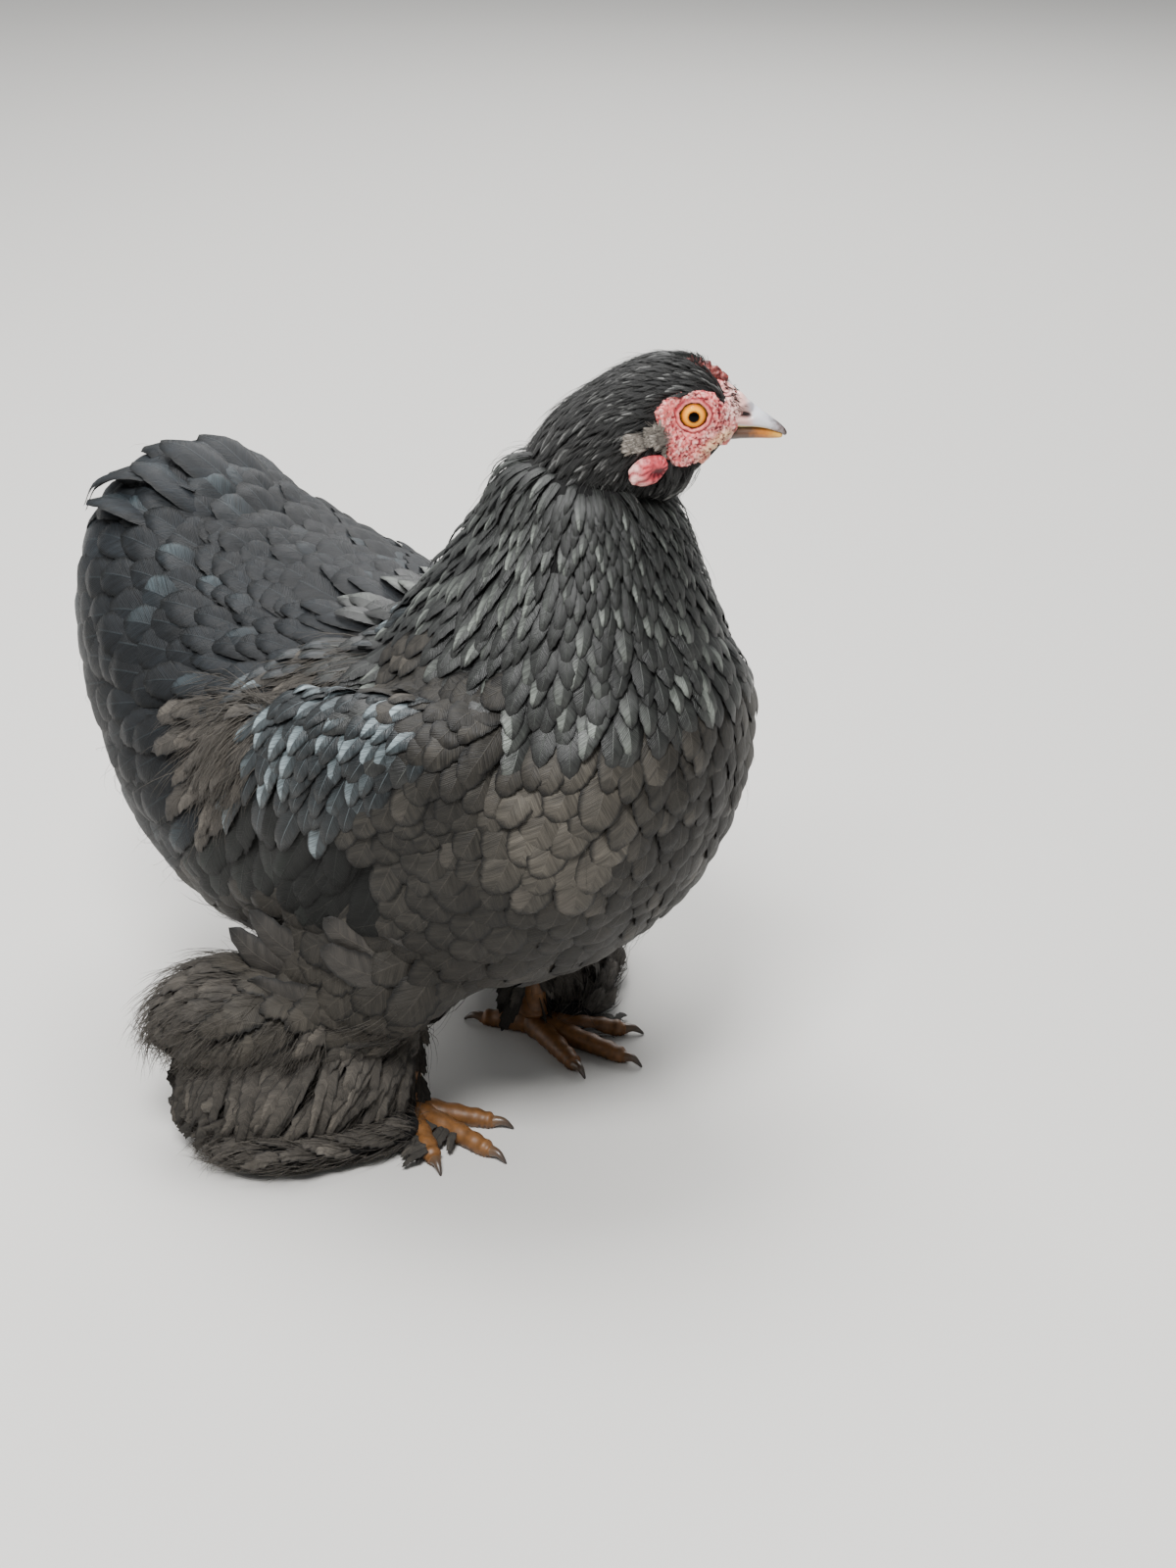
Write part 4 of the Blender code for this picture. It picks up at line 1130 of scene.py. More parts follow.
def finished(made, colour, relief=None, strength=0.0, depth=0.0, roughness=None):
    """The material with its colour, and its relief and roughness where it has them. The relief's
    depth is in millimetres."""
    tree = made.node_tree
    shader = tree.nodes["Principled BSDF"]
    give(shader.inputs["Base Color"], colour)
    if relief:
        bump = node(tree, "Bump", {"Height": relief, "Strength": strength, "Distance": depth * MM})
        give(shader.inputs["Normal"], bump)
    if roughness:
        give(shader.inputs["Roughness"], roughness)
    return made


def stored(add, name):
    """The three numbers that each point keeps under this name."""
    kept = add("Attribute", attribute_name=name)
    return add("SeparateXYZ", [kept.outputs["Vector"]]).outputs


def product(add, *ranges):
    """Values taken from one range to another, each with its two ranges, and multiplied."""
    total = 1.0
    for numbers in ranges:
        total = add("Math", (total, add("MapRange", numbers)), operation="MULTIPLY")
    return total


def layered(add, colour, *layers):
    """A colour with others laid over it, each by its own share."""
    for share, other in layers:
        colour = add("Mix", {"Factor": share, "A": colour, "B": other}, data_type="RGBA")
    return colour


def streaks(add, run, out, seed, lengthwise, crosswise, detail, roughness):
    """Noise stretched along the barbs, different on each feather."""
    place = add("CombineXYZ", (
        add("Math", (run, lengthwise), operation="MULTIPLY"),
        add("Math", (out, crosswise), operation="MULTIPLY"), seed))
    return add("TexNoise", {
        "Vector": place, "Scale": 1.0, "Detail": detail, "Roughness": roughness})


def mottled(add, size, detail, roughness=0.5):
    """Noise over the surface, its coarsest lumps of this size in millimetres."""
    place = add("NewGeometry").outputs["Position"]
    return add("TexNoise", {
        "Vector": place, "Scale": 1 / (size * MM), "Detail": detail, "Roughness": roughness})


def plumage_material(name, black, sheen, brown, rim, glint, roughness, barb_mm, gleam, shine):
    """Feather keratin, black with melanin: a fine herringbone of barbs off each shaft, glossy where the
    barbs knit, that gloss painted into the colour as paler sheen streaks, browner and duller where they
    hang loose."""
    made, add = new_material(name, IOR=1.52, Specular_IOR_Level=shine, Sheen_Weight=0.02)
    across, along, tone = stored(add, "vane")
    run, out, seed = stored(add, "barb")
    browned, loose, paled_and_lit = stored(add, "tint")
    reach = add("Math", [across], operation="ABSOLUTE")
    # Clumps of barbs, a few to the millimetre, stretched along the barbs.
    clump = streaks(add, run, out, seed, 1.1 / barb_mm, 0.12, 3.0, 0.65)
    patch = streaks(add, run, out, seed, 0.35, 0.1, 2.0, 0.5)
    wave_at = add("Math", (
        run, math.tau / barb_mm, add("Math", (clump, 9.0), operation="MULTIPLY"),
    ), operation="MULTIPLY_ADD")
    wave = add("Math", [wave_at], operation="SINE")
    # Colour: black to brown by tract, painted sheen in paler streaks where the barbs knit, lighter or
    # darker by feather, and by tract, partly painted light.
    streaked = layered(
        add, black, (browned, brown), (add("MapRange", (clump, 0.35, 0.8, 0.15, 0.7)), sheen))
    # By tract the level is partly the feathers' own paleness and partly painted light and shade.
    level = product(
        add, (patch, 0.3, 0.75, 0.65, 1.35), (tone, 0.0, 1.0, 0.75, 1.25),
        (paled_and_lit, 0.0, 1.5, 0.35, 2.3))
    toned = add(
        "Mix", {"Factor": 1.0, "A": streaked, "B": level}, data_type="RGBA", blend_type="MULTIPLY")
    # The shaft shows as a paler line; on some feathers the outer part of the half that faces GLINT_WAY
    # takes a painted highlight; and the rim is dark again, painted shade.
    shaft = add("MapRange", (reach, 0.015, 0.05, 0.16, 0.0))
    painted_glint = product(
        add, (across, -0.05, 0.12, 0.12, 1.0), (tone, 1 - gleam, 1.0, 0.0, 1.0),
        (along, 0.45, 0.8, 0.0, 1.0), (clump, 0.35, 0.65, 0.3, 1.0))
    # Painted shade: each feather's rim and tip go dark, as in the gaps between feathers.
    edge_shade = add("Math", (
        add("MapRange", (reach, 0.74, 0.94, 0.0, 0.85)),
        add("MapRange", (along, 0.87, 0.975, 0.0, 0.85))), operation="MAXIMUM")
    colour = layered(add, toned, (shaft, glint), (painted_glint, glint), (edge_shade, rim))
    rough = add("Math", (
        loose, 0.22, add("MapRange", (clump, 0.3, 0.8, roughness - 0.04, roughness + 0.14)),
    ), operation="MULTIPLY_ADD")
    finish = add("Math", (
        rough, add("MapRange", (tone, 0.7, 1.0, 0.0, 0.06))), operation="SUBTRACT")
    # Relief: barbs, their clumps, and the shaft as a fine raised line.
    relief = add("MapRange", (reach, 0.0, 0.06, 0.8, 0.0))
    for height, share in ((clump, 1.2), (wave, 0.25)):
        relief = add("Math", (height, share, relief), operation="MULTIPLY_ADD")
    return finished(made, colour, relief, 0.6, 0.2, finish)


def under_skin_material():
    """Bare skin under the coat, hidden in shade and painted nearly black as shade, so no gap glows."""
    made, add = new_material("skin under the plumage", Roughness=0.9, IOR=1.4)
    grain = mottled(add, 1.1, 3.0)
    return finished(made, layered(add, "#030303", (grain, "#090808")), grain, 0.5, 0.4)


def bare_skin_material(name, flesh, crease, pale, cream, grain_mm, roughness=0.5):
    """Bare facial skin, thin and full of blood: darker red in its folds and between its warts, painted
    shade, with mottling; paler in places, partly its own colour and partly painted highlights on raised
    grains and ridges;
    creamy at the corner of the mouth, with small warts that catch the light."""
    made, add = new_material(
        name, Roughness=roughness, IOR=1.4, Subsurface_Weight=0.12, Subsurface_Scale=1.2 * MM,
        Subsurface_Radius=(1.0, 0.35, 0.25))
    creamy, pale_and_highlit, dark = stored(add, "zone")
    place = add("NewGeometry").outputs["Position"]
    warts = add("TexVoronoi", {"Vector": place, "Scale": 1 / (grain_mm * MM)}, feature="SMOOTH_F1")
    lumps = mottled(add, grain_mm * 2, 4.0, 0.6)
    depth = add("MapRange", (warts, 0.15, 0.75, 0.0, 1.0))
    # Painted shade: the crease colour goes into the dips between warts and where the zone says dark; the
    # lumps add mottling.
    fold_shade_and_mottle = add("Math", (
        depth, add("MapRange", (lumps, 0.4, 0.7, 0.0, 0.6)), dark,
    ), operation="MULTIPLY_ADD", use_clamp=True)
    colour = layered(add, flesh, (pale_and_highlit, pale), (creamy, cream), (fold_shade_and_mottle, crease))
    height = add("Math", (lumps, depth), operation="SUBTRACT")
    return finished(made, colour, height, 0.6, 0.35)


def horn_material(name, stops, roughness, streak_mm):
    """Beak or claw horn: keratin in thin layers, waxy, with faint lines along it. The colours
    run from its base to its tip."""
    made, add = new_material(
        name, Roughness=roughness, IOR=1.54, Subsurface_Weight=0.06, Subsurface_Scale=1.0 * MM,
        Coat_Weight=0.15)
    along, dark, skin = stored(add, "zone")
    mottle = mottled(add, streak_mm, 4.0, 0.6)
    nudged = add("Math", (
        along, add("MapRange", (mottle, 0.3, 0.7, -0.07, 0.07))), operation="ADD", use_clamp=True)
    # Bare skin covers the base, and the cutting edge, where its number is below nought, is ivory.
    based, edged = (
        add("Math", (skin, sign), operation="MULTIPLY", use_clamp=True) for sign in (1.0, -1.0))
    colour = layered(
        add, add("ValToRGB", [nudged], stops), (based, "#e6b4aa"), (edged, "#ecdca2"),
        (dark, "#2a2226"))
    return finished(made, colour, mottle, 0.25, 0.2)


def eye_material():
    """A wet eye: amber iris with fine spokes, darker round its rim where the lids' shade is painted, and
    a black pupil.
    """
    made, add = new_material(
        "hen's eye, wet", Roughness=0.25, IOR=1.38, Specular_IOR_Level=0.03, Coat_Weight=0.1,
        Coat_Roughness=0.02)
    out, cosine, sine = stored(add, "zone")
    spokes = add("TexNoise", {
        "Vector": add("CombineXYZ", [
            add("Math", (value, stretch), operation="MULTIPLY")
            for value, stretch in ((cosine, 9.0), (out, 1.5), (sine, 9.0))]),
        "Scale": 2.0, "Detail": 4.0, "Roughness": 0.7})
    nudged = add("Math", (
        out, add("MapRange", (spokes, 0.3, 0.7, -0.035, 0.035))), operation="ADD", use_clamp=True)
    colours = add("ValToRGB", [nudged], EYE_STOPS)
    lit = layered(add, colours, (add("MapRange", (spokes, 0.4, 0.75, 0.0, 0.3)), "#ffcc50"))
    iris = add("Math", (out, PUPIL_SHARE + 0.02), operation="GREATER_THAN")
    return finished(made, layered(add, colours, (iris, lit)))


def scale_material():
    """Leg scales: small overlapping plates of keratin, orange-brown, dusty and worn."""
    made, add = new_material("leg scales", Roughness=0.5, IOR=1.5)
    seam, _, _ = stored(add, "zone")
    mottle = mottled(add, 2.0, 4.0)
    colour = layered(add, "#3e2a15", (mottle, "#86592e"), (seam, "#24140a"))
    return finished(made, colour, mottle, 0.4, 0.2)


def body_skin():
    """The skin of body, neck, wings and legs as one softened surface under the coat."""
    forms = [
        Form(BODY, fixed=(-1, 0, 0)).grid(60, 48, CREASE - COAT["body"]),
        Form(NECK, fixed=(0, 0, 1)).grid(40, 48, CREASE - COAT["neck"]),
    ]
    for rows, coat, rings, sides in (
        (WING, "wing", 30, 32), (THIGH, "thigh", 30, 32), (HOCK, "hock", 30, 32),
        (BOOT, "boot", 30, 32), (SHANK, "shank", 24, 24), (SHOULDER_FILL, "shoulder", 24, 24),
    ):
        for side in (rows, mirrored(rows)):
            forms.append(Form(side).grid(rings, sides, CREASE - COAT[coat]))
    points, quads, tris, _ = joined(forms)
    points, quads, tris = remeshed(points, quads, tris, SKIN_VOXEL, 14)
    points = points - vertex_normals(points, quads) * CREASE
    sunk = HOLLOW_DEPTH * smooth(1.3, 0.5, hollow(points))
    return points - vertex_normals(points, quads) * sunk[:, None], quads, tris


def hollow(points):
    """How far a point is from the middle of the hollow behind the wing: 1 at its border."""
    one_side = np.where((False, True, False), np.abs(points), points)
    return np.linalg.norm((one_side - HOLLOW_PLACE) / HOLLOW_SIZE, axis=1)


def outside(x, z, corners):
    """How far points are outside a closed border, below nought within it."""
    start = np.array(corners)
    edge = np.roll(start, -1, 0) - start
    from_start = np.stack((x, z), -1)[:, None] - start
    share = np.clip((from_start * edge).sum(-1) / (edge ** 2).sum(-1), 0, 1)
    away = np.linalg.norm(from_start - edge * share[..., None], axis=-1).min(1)
    below, above = from_start[..., 1] < 0, from_start[..., 1] - edge[:, 1] < 0
    left = from_start[..., 0] < edge[:, 0] * from_start[..., 1] / (edge[:, 1] + 1e-9)
    within = ((below != above) & left).sum(1) % 2 == 1
    return np.where(within, -away, away)


def bare_face(local):
    """1 on the bare red face, 0 under feathers, in the head's own frame."""
    x, y, z = local.T
    ragged = outside(x, z, FACE_BORDER) + 0.5 * octaves(local, 2.0, 2)
    side = smooth(0.5, -0.4, ragged) * smooth(3.0, 4.5, np.abs(y))
    brow = smooth(3.8, 2.8, np.abs(y)) * smooth(8.0, 9.4, x) * smooth(0, 3, z)
    front = smooth(10.2, 11.2, x)
    return np.maximum.reduce((side, brow, front)) * smooth(-20.0, -17.0, z)


def head_skin():
    """The head's skin with the relief of the face: sockets, folds, cheek and jaw."""
    points, quads, tris = Form(HEAD, fixed=(-1, 0, 0)).grid(70, 72)
    points, quads, _ = remeshed(from_head(points), quads, tris, HEAD_VOXEL, 6)
    local = to_head(points)
    normals = turned(vertex_normals(points, quads), -HEAD_YAW)
    bare = bare_face(local)
    local = local - normals * ((1 - bare) * HEAD_COAT)[:, None]
    x, y, z = local.T
    round_eye = np.hypot(x, z * 1.04)
    onto = smooth(10.5, 5.0, round_eye) * smooth(4.0, 7.0, np.abs(y))
    floor = EYE_OUT + 3.2 - 2.6 * smooth(5.2, 3.9, round_eye)
    local[:, 1] = np.sign(y) * (np.abs(y) * (1 - onto) + floor * onto)
    folds = np.zeros(len(local))
    for radius, height, breadth in EYE_FOLDS:
        wander = radius + 0.35 * np.sin(np.arctan2(z, x) * 3 + radius)
        folds += height * np.exp(-((round_eye - wander) / breadth) ** 2)
    line = JOWL - GAPE
    from_gape = np.stack((x, z), -1) - GAPE
    share = np.clip(from_gape @ line / (line @ line), 0, 1)
    from_line = np.linalg.norm(from_gape - share[:, None] * line, axis=1)
    folds += 0.7 * np.exp(-(from_line / 1.6) ** 2) * (np.abs(y) > 2)
    crease = np.exp(-(octaves(local, 2.6) / 0.075) ** 2) * smooth(5.4, 6.2, round_eye)
    grains = octaves(local, 0.9) * 0.3 * smooth(4.9, 6.0, round_eye)
    local = local + normals * ((folds + grains - 0.4 * crease) * bare)[:, None]
    cream = smooth(3.4, 0.6, from_line + 0.5 * octaves(local, 2.5, 2)) * smooth(-1, 6, x)
    # Paler towards the beak and by the comb, in random patches, and painted highlights on the tops of the
    # grains.
    pale = 0.8 * smooth(7.5, 12.5, x) * smooth(-6.5, -1.0, z)
    pale = pale + 0.5 * smooth(9, 13, z) * smooth(-2, 4, x)
    pale = pale + 0.45 * smooth(0.0, 0.5, octaves(local, 2.4)) + 3.2 * np.clip(grains, 0, 0.25)
    # Painted shade: darker in the creases, in the hollows between grains, and in a ring at the base of
    # the lids.
    dark = 0.95 * crease + np.clip(-grains * 3.4, 0, 0.6)
    dark = dark + 0.9 * smooth(5.9, 5.3, round_eye) * smooth(4.4, 4.9, round_eye)
    zone = np.stack((cream, np.clip(pale, 0, 1), np.clip(dark, 0, 1)), -1)
    return from_head(local), quads, zone, bare


def toe_rows(heading, length, sign):
    turn = math.radians(heading)
    ahead = np.array((math.cos(turn), sign * math.sin(turn), 0))
    root = np.array((FOOT_X, sign * FOOT_Y, 0))
    rows = [(*(root + ahead * length * s)[:2], h, r, r) for s, h, r in TOE_ROWS]
    heel = root - ahead * TOE_ROWS[0][2] * 0.7
    tip = root + ahead * (length + TOE_ROWS[-1][2] * 0.9)
    start = (heel[0], heel[1], TOE_ROWS[0][1], 0, 0)
    end = (tip[0], tip[1], TOE_ROWS[-1][1] - 0.4, 0, 0)
    return [start] + rows + [end], ahead


def scaled(form, rings, sides, length):
    """A toe or shank with its row of overlapping plates along the front and top."""
    points, quads, tris = form.grid(rings, sides)
    t = ring_places(rings)
    step = (t[:, None] * length / SCUTE_LENGTH) % 1
    upper = smooth(-0.2, 0.5, np.sin(turns(sides)))[None]
    plate = (0.5 * step ** 2 - 0.18) * upper
    pads = 0.25 * np.sin(t[:, None] * length * math.tau / 5.5) * (1 - upper)
    centre = form.row(t)[:, None, :3]
    grid = points[:-2].reshape(rings - 1, sides, 3)
    grid = grid + unit(grid - centre) * (plate + pads)[..., None]
    points[:-2] = grid.reshape(-1, 3)
    points[:, 2] = np.maximum(points[:, 2], 0.0)
    seam = (smooth(0.86, 1.0, step) + smooth(0.12, 0.0, step)) * upper
    zone = np.zeros((len(points), 3))
    zone[:-2, 0] = np.clip(seam, 0, 1).ravel()
    return points, quads, tris, zone


under_skin = under_skin_material()
face_skin = bare_skin_material(
    "bare face, wrinkled", "#ea7672", "#7c1c28", "#fdd2c8", "#ecc49a", 0.9)
comb_skin = bare_skin_material(
    "comb, dull red under dark bristles", "#904844", "#2c0c10", "#bc8478", "#8a403c", 0.8)
lobe_skin = bare_skin_material(
    "earlobe flesh, crimson", "#d4545a", "#4e0a14", "#f4bcb4", "#9c5450", 1.1, 0.42)
leg_scales = scale_material()
upper_horn = horn_material("beak horn, pale", UPPER_BEAK_STOPS, 0.34, 1.2)
lower_horn = horn_material("beak horn, brown", LOWER_BEAK_STOPS, 0.36, 1.2)
claw_horn = horn_material("claw horn", CLAW_STOPS, 0.4, 1.5)
wet_eye = eye_material()
plumage = {kind: plumage_material(*values) for kind, values in PLUMAGE.items()}


def build_skin():
    """The one skin of the hen: her hidden body, the head with its bare face, and scaled legs."""
    body = body_skin()
    head_points, head_quads, head_zone, bare = head_skin()
    parts = [(*body, np.zeros((len(body[0]), 3))), (head_points, head_quads, (), head_zone)]
    for _, sign in SIDES:
        parts.append(scaled(Form(SHANK if sign > 0 else mirrored(SHANK)), 60, 28, 44))
        for _, heading, length in TOES:
            rows, ahead = toe_rows(heading, length, sign)
            toe = Form(rows, side=(-ahead[1], ahead[0], 0))
            parts.append(scaled(toe, 64, 28, length + 6))
    *shape, owners = joined([part[:3] for part in parts])
    skin = make_piece(
        "skin", shape, [under_skin, face_skin, leg_scales], SKIN_NODES,
        np.concatenate([part[3] for part in parts]))
    kinds = np.minimum(owners, 2)
    feathered = bare[head_quads].mean(1) < 0.1
    kinds[len(body[1]):len(body[1]) + len(head_quads)][feathered] = 0
    skin.data.polygons.foreach_set("material_index", kinds.astype(np.int32))
    return Skin(*body[:2]), Skin(head_points, head_quads)


def face_piece(name, local, faces, made, nodes=(), zone=None):
    """A piece given in the head's own frame."""
    make_piece(name, (from_head(local), *faces), [made], nodes, zone)


def lids(label, sign, count=64):
    """Both lids as one round rim on the eye, thin at its edge and rolled outward."""
    turn = turns(count)
    ripple = 1 + 0.02 * np.sin(turn * 7) + 0.018 * np.sin(turn * 11 + 1)
    corner = 1 + 0.05 * np.cos(turn) ** 4
    radius, height, pale, dark = np.array(LID_PROFILE).T[..., None]
    shape = (len(LID_PROFILE), count)
    local = per_point(
        shape, radius * ripple * corner * np.cos(turn), sign * (EYE_OUT + height),
        radius * ripple * np.sin(turn))
    quads, _ = tube(*shape)
    # The painted shade and highlight of LID_PROFILE.
    zone = per_point(shape, 0, pale, dark)
    face_piece(f"lids_{label}", local, (quads[:, BACKWARD][:, ::sign], ()), face_skin, zone=zone)


def eyeball(label, sign, rings=40, sides=64):
    """The eye, with the cornea's slight bulge over the iris."""
    lean = np.linspace(0, math.pi, rings + 1)[1:-1, None]
    turn = turns(sides)
    bulge = 0.25 * np.exp(-(np.sin(lean) * EYE_RADIUS / 3.0) ** 2) * (lean < math.pi / 2)
    radius = EYE_RADIUS + bulge
    local = per_point(
        (rings - 1, sides), radius * np.sin(lean) * np.cos(turn),
        sign * (EYE_OUT + radius * np.cos(lean) - 0.12), radius * np.sin(lean) * np.sin(turn))
    front = (0, sign * (EYE_OUT + EYE_RADIUS + 0.13), 0)
    back = (0, sign * (EYE_OUT - EYE_RADIUS), 0)
    local = np.concatenate((local, [front, back]))
    faces = [kind[:, ::sign] for kind in tube(rings - 1, sides)]
    x, y, z = local.T
    out = np.where(np.abs(y) < EYE_OUT, 1.0, np.hypot(x, z) / EYE_RADIUS)
    turn = np.arctan2(z, x)
    zone = np.stack((out, np.cos(turn), np.sin(turn)), -1)
    face_piece(f"eyeball_{label}", local, faces, wet_eye, [f"eye_{label}"], zone)


def column_of(rows, source, wanted, at):
    """One column of a table of stations, read off at places along another."""
    rows = np.array(sorted(rows, key=lambda row: row[source]), float)
    return np.interp(at, rows[:, source], rows[:, wanted])


def upper_beak():
    """The upper beak: a keel along its top, a flap over each nostril, and the ridge that runs
    under it to the cutting edge; bare skin covers its base."""
    points, *faces = Form(BEAK_UPPER).grid(72, 64)
    x, y, z = points.T
    above = z - column_of(BEAK_UPPER, 0, 2, x)
    y = y * (1 - 0.12 * smooth(1.0, 4.0, above)) * (1 + 0.05 * smooth(0.0, -1.5, above))
    from_hole = (x - NOSTRIL_PLACE[0] + 0.2) / 2.1
    hole = np.hypot(from_hole, (z - NOSTRIL_PLACE[2] + 0.4 + (x - 16) * 0.25) / 0.95)
    y = y * (1 - 0.4 * smooth(1.3, 0.5, hole) * (np.abs(y) > 2))
    flap = np.hypot((x - 16.6) / 2.6, (z - NOSTRIL_PLACE[2] - 1.3) / 1.4)
    y = y * (1 + 0.09 * smooth(1.25, 0.5, flap))
    ridge = np.abs(z - NOSTRIL_PLACE[2] + 2.4 - 0.1 * (x - 14)) / 0.6
    y = y * (1 + 0.05 * smooth(1.6, 0.4, ridge) * smooth(22, 18, x))
    # Dark: painted shade in the nostril hole, darker on its flap, and the horn's own dark top near the
    # tip.
    dark = np.maximum.reduce((
        0.95 * smooth(1.3, 0.7, hole), 0.6 * smooth(1.15, 0.8, flap),
        0.55 * smooth(20, 27, x) * smooth(0.8, 1.8, above)))
    skin = smooth(18.5, 15.5, x + 0.2 * (z - 2)) * smooth(1.25, 0.9, -above / 3.0)
    half = np.maximum(column_of(BEAK_UPPER, 0, 4, x), 0.1)
    rim = smooth(0.5, 0.75, -above / half) * smooth(26, 22, x)
    zone = np.stack((np.clip((x - 10) / 19, 0, 1), dark, skin * (1 - rim) - rim), -1)
    local = np.stack((x, y, z), -1)
    face_piece("upper_beak", local, faces, upper_horn, ["beak_upper"], zone)


def lower_beak():
    local, *faces = Form(BEAK_LOWER).grid(56, 48)
    zone = per_point(len(local), np.clip((local[:, 0] - 9) / 19, 0, 1), 0, 0)
    face_piece("lower_beak", local, faces, lower_horn, ["beak_lower"], zone)


def comb():
    """The low comb: fleshy points with a grain of warts, paler in patches."""
    steps, sides = 90, 28
    t = np.linspace(0, 1, steps + 1)
    base = COMB_FRONT + (COMB_REAR - COMB_FRONT) * t[:, None]
    wave = 0.5 - 0.5 * np.cos(math.tau * COMB_POINTS * t)
    uneven = 1 + 0.35 * np.sin(t * 17 + 1) * np.sin(t * 7)
    rise = 0.75 * COMB_HEIGHT + COMB_POINT_RISE * wave * uneven
    half = (rise * np.sin(math.pi * (0.05 + 0.9 * t)) / 2)[:, None]
    up = np.array((0.5, 0, 0.87))
    turn = turns(sides)
    thick = COMB_HALF_THICK * (1 + 0.12 * np.sin(t * 31))
    local = base[:, None] + up * (np.sin(turn) * (half + 1.2) + half - 1.2)[..., None]
    local[..., 1] += np.cos(turn) * thick[:, None]
    local = local.reshape(-1, 3)
    local = local + 0.45 * np.stack([octaves(local + k * 9, 1.8) for k in range(3)], -1)
    local = np.concatenate((local, [base[0] - up * 0.6, base[-1] - up * 0.6]))
    pale = 0.5 * smooth(0.0, 0.4, octaves(local, 1.4, 2))
    dark = np.clip(0.35 - octaves(local, 1.1, 2), 0, 0.7)
    zone = per_point(len(local), 0.55, pale, dark)
    faces = tube(steps + 1, sides)
    face_piece("comb_flesh", local, faces, comb_skin, nodes=["comb"], zone=zone)


def earlobe(label, sign):
    """The crimson lobe: creases fan out from the hollow at its front; hollow and grooves are painted
    shade, the outer ridges painted highlights.
    """
    local, *faces = Form(EARLOBE if sign > 0 else mirrored(EARLOBE)).grid(60, 76)
    x, y, z = local.T
    outer = np.abs(y) > column_of(EARLOBE, 0, 1, x)
    turn = np.arctan2(z + 15.2, x + 10.8)
    away = np.hypot(z + 15.2, x + 10.8)
    crease = np.abs(np.sin(turn * 6.5 + 0.7 * np.sin(away * 1.1))) ** 0.6
    groove = (1 - crease) * smooth(0.8, 2.4, away) * outer
    pit = np.exp(-(np.hypot(x + 10.6, (z + 16.6) * 1.5) / 2.4) ** 2) * outer
    y = y - sign * (0.45 * groove + 1.5 * pit - 0.25 * outer)
    local = np.stack((x, y, z), -1)
    local = local + 0.12 * octaves(local, 1.2, 2)[:, None]
    # Painted shade in the grooves and the hollow, painted highlights on the outer ridges.
    dark = np.clip(0.8 * groove + 1.1 * pit, 0, 1)
    pale = np.clip(smooth(3.6, 7.4, away) * 1.1 * crease, 0, 1)
    face_piece(
        f"earlobe_{label}_flesh", local, faces, lobe_skin, nodes=[f"earlobe_{label}"],
        zone=per_point(len(local), 0, pale, dark))


def wattle(label, sign):
    """The small wattle: a short bag of warty skin under the jaw, creamy like the jaw itself."""
    local, *faces = Form(WATTLE if sign > 0 else mirrored(WATTLE)).grid(48, 48)
    local = local + 0.3 * octaves(local, 1.1)[:, None] * unit(local - local.mean(0))
    dark = np.clip(-octaves(local, 0.9) * 1.6, 0, 0.7)
    face_piece(
        f"wattle_{label}_flesh", local, faces, face_skin, nodes=[f"wattle_{label}"],
        zone=per_point(len(local), 0.35, 0.3, dark))


def claw(label, sign, name, heading, length):
    """A claw that grows on from its toe and curves down to the ground."""
    rows, ahead = toe_rows(heading, length, sign)
    tip = np.array(rows[-2][:3])
    stations = [(*(tip - ahead * 1.5), 0, 0)]
    for share, rise, radius in CLAW_ROWS:
        x, y, z = tip + ahead * CLAW_LENGTH * share
        stations.append((x, y, z + rise, radius, radius))
    x, y, z = tip + ahead * CLAW_LENGTH
    stations.append((x, y, z - CLAW_DROP, 0, 0))
    points, *faces = Form(stations, side=(-ahead[1], ahead[0], 0)).grid(28, 18)
    points[:, 2] = np.maximum(points[:, 2], 0.05)
    share = np.clip(((points - tip) @ ahead) / CLAW_LENGTH, 0, 1)
    make_piece(
        f"nail_{name}_{label}", (points, *faces), [claw_horn], [f"claw_{name}_{label}"],
        per_point(len(points), share, 0, 0))


def fluff(tile, skin, places, ways, facts, each, thick=COARSE_BARB):
    """Loose barbs among the feathers at these places, so many to each."""
    number = np.round(each * draw.uniform(0.6, 1.4, len(places))).astype(int)
    pick = np.repeat(np.arange(len(places)), number)
    around = draw.normal(0, 1, (len(pick), 3)) * facts[pick, 1:2] * 0.55
    roots, out = skin.nearest(places[pick] + around)
    way = unit(laid(ways[pick] + draw.normal(0, 0.13, (len(pick), 3)), out))
    lengths = facts[pick, 0] * draw.uniform(0.7, 1.1, len(pick))
    stout = draw.uniform(*thick, len(pick))
    lift = roots + out * facts[pick, 2:3] * draw.uniform(0.3, 0.8, (len(pick), 1))
    return strands(tile, lift, way, out, lengths, stout, facts[pick][:, (3, 5, 6)].T)


def row_places(rows):
    """Roots, ways and tracts of the feathers that stand in rows, on both sides."""
    roots, ways, owners = [], [], []
    for tract, line, count, way in rows:
        knots = np.linspace(0, 1, len(line))
        at = np.linspace(0, 1, count)
        spots = np.stack([np.interp(at, knots, column) for column in zip(*line)], -1)
        heading = np.gradient(spots, axis=0) if way is None else np.tile(way, (count, 1))
        for flip in FLIPS:
            roots.append((spots + draw.normal(0, 0.6, spots.shape)) * flip)
            ways.append(unit(unit(heading) + draw.normal(0, 0.06, spots.shape)) * flip)
            owners += [tract] * count
    return np.concatenate(roots), np.concatenate(ways), owners


